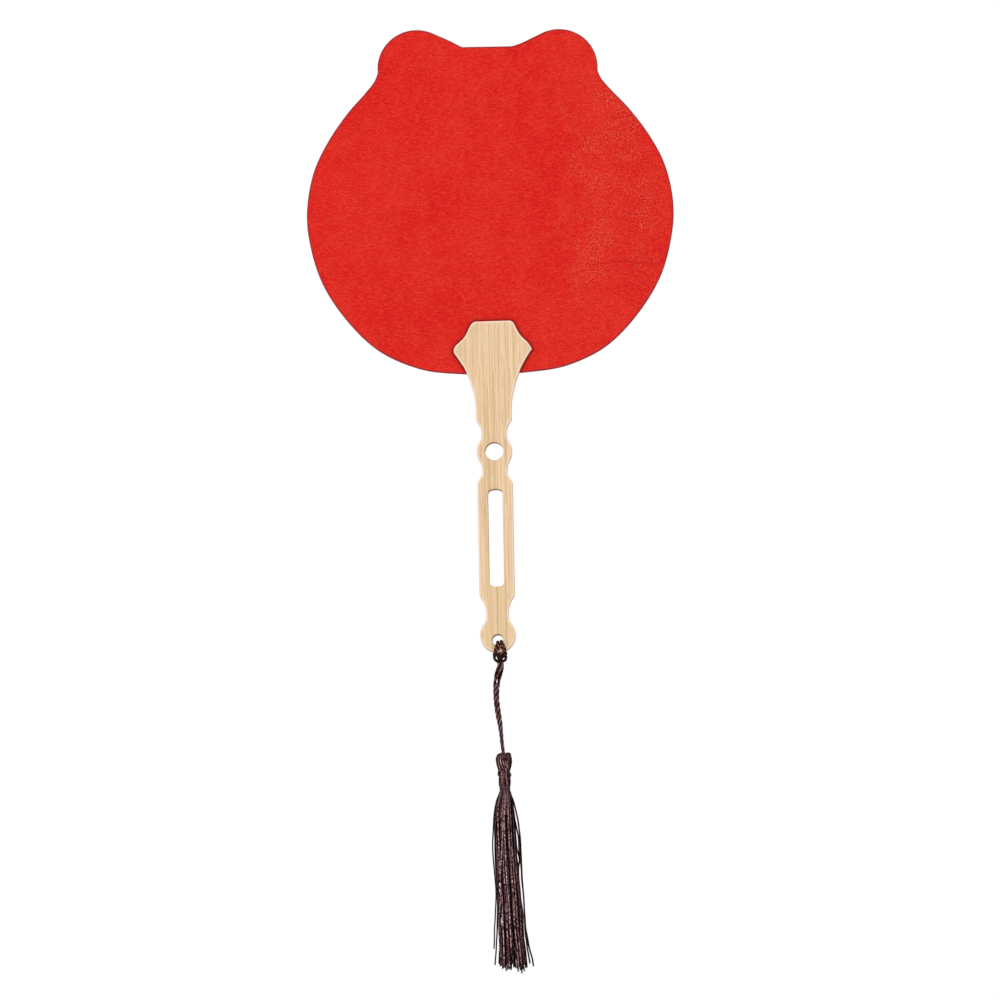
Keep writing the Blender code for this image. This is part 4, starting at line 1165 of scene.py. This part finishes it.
def lay_out(soup, line, radius, tone, rng):
    path = spaced(catmull(line, 1.0), 0.95)
    lay = rng.uniform(3.8, 5.6)
    squeeze = np.interp(-path[:, 2], [20.6, 21.6, 24.0, 34.0], [0.62, 0.68, 0.82, 1.0])
    end = np.ones(len(path))
    end[-1] = 0.80
    hub = np.stack([np.interp(-path[:, 2], SKIRT_AT, SKIRT_MIDDLE), np.zeros(len(path)), path[:, 2]], axis=1)
    # painted shade darkens the sides of the bundle, most in its upper half, and its top under the winding; lower down,
    # where the threads open out, tone rises and so does the painted highlight
    depth = -path[:, 2]
    across = np.abs(path[:, 0] - hub[:, 0]) / np.interp(depth, SKIRT_AT, SKIRT_HALF)
    side = smoothstep(0.72, 0.92, across) * np.interp(depth, [20.0, 50.0, 80.0, 131.0], [0.9, 0.75, 0.4, 0.4])
    tone = tone * (1.0 - side) * np.interp(depth, [20.6, 25.0, 34.0, 60.0, 100.0], [0.45, 0.70, 1.0, 1.15, 1.35])
    strand(soup, path, radius * squeeze * end, sides=8, lay=lay, phase=rng.uniform(0, 6.28), tone=tone, hub=hub)


# ------------------------------------------------------------------- put together
make_camera()

bamboo = bamboo_material()
red_front = paper_material("red_paper_front", 163.4)
red_back = paper_material("red_paper_back", None)
rim = rim_material()
card = card_material()
# each yarn's third colour is the colour of its painted highlight
knotted = yarn_material("dark_twine_knotted", (0.012, 0.0016, 0.0014), (0.135, 0.0300, 0.0210), (0.560, 0.270, 0.205),
                        specular=0.03, ply=1.0)
twine = yarn_material("dark_twine", (0.016, 0.0030, 0.0036), (0.170, 0.0660, 0.0700), (0.620, 0.430, 0.450),
                      specular=0.03)
floss = yarn_material("dark_silk_folded", (0.016, 0.0014, 0.0020), (0.250, 0.0850, 0.0920), (0.900, 0.620, 0.640),
                      painted_highlight_amount=0.9, specular=0.03)
silk = yarn_material("dark_silk", (0.016, 0.0014, 0.0020), (0.290, 0.1120, 0.1220), (1.000, 0.760, 0.780), painted_highlight_amount=1.0,
                     specular=0.03, ply=0.5)

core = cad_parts["leaf_core_board"]
core.data.materials.clear()
core.data.materials.append(card)

handle = handle_piece(bamboo)
front_paper = paper_piece("front_paper", -1, red_front)
back_paper = paper_piece("back_paper", 1, red_back)
leaf_rim = rim_piece(rim)
hitch = hitch_piece(knotted)
cord, cord_tail, cord_line = cord_pieces(twine)
crown = crown_piece(floss)
upper = Soup()
winding(upper, 3.35, -10.9, -13.5, 4.1, 0.44, 0.20, 3, swell=0.35, tilt=0.45, start=1.9)
upper_winding = upper.build("crown_winding", twine, TASSEL)
lower = Soup()
winding(lower, 3.02, -20.6, -21.4, 2.1, 0.25, 0.3, 4, start=2.0)
lower_winding = lower.build("neck_winding", twine, TASSEL)
neck = neck_piece(floss)
skirt = skirt_piece(silk)

for piece, body, slot, replaced in (
        (handle, "fan", "bamboo", ["handle"]), (front_paper, "fan", "red_paper", ["leaf_front_paper"]),
        (back_paper, "fan", "red_paper", ["leaf_back_paper"]), (leaf_rim, "fan", "edge_strip", ["leaf_edge_strip"]),
        (hitch, "loop", "twine", ["hanging_loop"]), (crown, "tassel_head", "tassel_silk", ["tassel_crown"]),
        (upper_winding, "tassel_head", "twine", ["crown_binding"]),
        (lower_winding, "tassel_head", "twine", ["neck_binding"]),
        (neck, "tassel_head", "tassel_silk", ["tassel_neck"])):
    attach(piece, body)
    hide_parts(*replaced)

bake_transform(cord)
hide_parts("tassel_cord")
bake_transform(cord_tail)
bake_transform(skirt)
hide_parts("tassel_skirt")


# ------------------------------------------------------------------ stage, lights
def floor_piece():
    mesh = bpy.data.meshes.new("floor")
    n, half = 12, 7.2
    verts = [(-half + 2 * half * i / n, -half + 2 * half * j / n, -1.6) for j in range(n + 1) for i in range(n + 1)]
    faces = [(j * (n + 1) + i, j * (n + 1) + i + 1, (j + 1) * (n + 1) + i + 1, (j + 1) * (n + 1) + i)
             for j in range(n) for i in range(n)]
    mesh.from_pydata(verts, [], faces)
    t = Tree("pale_floor")
    soft = t.noise(t.mm(), 0.002, 2.0, 0.5)
    mesh.materials.append(t.finish(t.mix(soft, (0.80, 0.80, 0.79), (0.84, 0.84, 0.83)), 0.85, 0.1))
    ob = bpy.data.objects.new("floor", mesh)
    scene.collection.objects.link(ob)


def area_light(name, place, aim, size, power):
    data = bpy.data.lights.new(name, "AREA")
    data.shape = "DISK"
    data.size = size
    data.energy = power
    ob = bpy.data.objects.new(name, data)
    scene.collection.objects.link(ob)
    ob.location = place
    ob.rotation_mode = "QUATERNION"
    ob.rotation_quaternion = (Vector(aim) - Vector(place)).to_track_quat("-Z", "Y")


def make_world():
    """White to the camera; as a light, brighter above than below."""
    world = bpy.data.worlds.new("studio")
    scene.world = world
    world.use_nodes = True
    nodes, links = world.node_tree.nodes, world.node_tree.links
    nodes.clear()
    out = nodes.new("ShaderNodeOutputWorld")
    coord = nodes.new("ShaderNodeTexCoord")
    sep = nodes.new("ShaderNodeSeparateXYZ")
    links.new(coord.outputs["Generated"], sep.inputs[0])
    height = nodes.new("ShaderNodeMapRange")
    height.interpolation_type = "SMOOTHSTEP"
    height.inputs["From Min"].default_value = -0.9
    height.inputs["From Max"].default_value = 0.9
    height.inputs["To Min"].default_value = 0.42
    height.inputs["To Max"].default_value = 0.60
    links.new(sep.outputs[2], height.inputs["Value"])
    light = nodes.new("ShaderNodeBackground")
    light.inputs["Color"].default_value = (1.0, 1.0, 1.0, 1.0)
    links.new(height.outputs["Result"], light.inputs["Strength"])
    seen = nodes.new("ShaderNodeBackground")
    seen.inputs["Color"].default_value = (1.0, 1.0, 1.0, 1.0)
    seen.inputs["Strength"].default_value = 1.0
    path = nodes.new("ShaderNodeLightPath")
    pick = nodes.new("ShaderNodeMixShader")
    links.new(path.outputs["Is Camera Ray"], pick.inputs[0])
    links.new(light.outputs[0], pick.inputs[1])
    links.new(seen.outputs[0], pick.inputs[2])
    links.new(pick.outputs[0], out.inputs[0])


floor_piece()
area_light("soft_key", (-0.9, -3.0, 1.3), (0, 0, 0.05), 1.2, 48.4)
area_light("soft_fill", (2.2, -2.3, -0.2), (0, 0, 0.05), 1.2, 8.5)
make_world()
scene.view_settings.view_transform = "Standard"
scene.view_settings.look = "None"
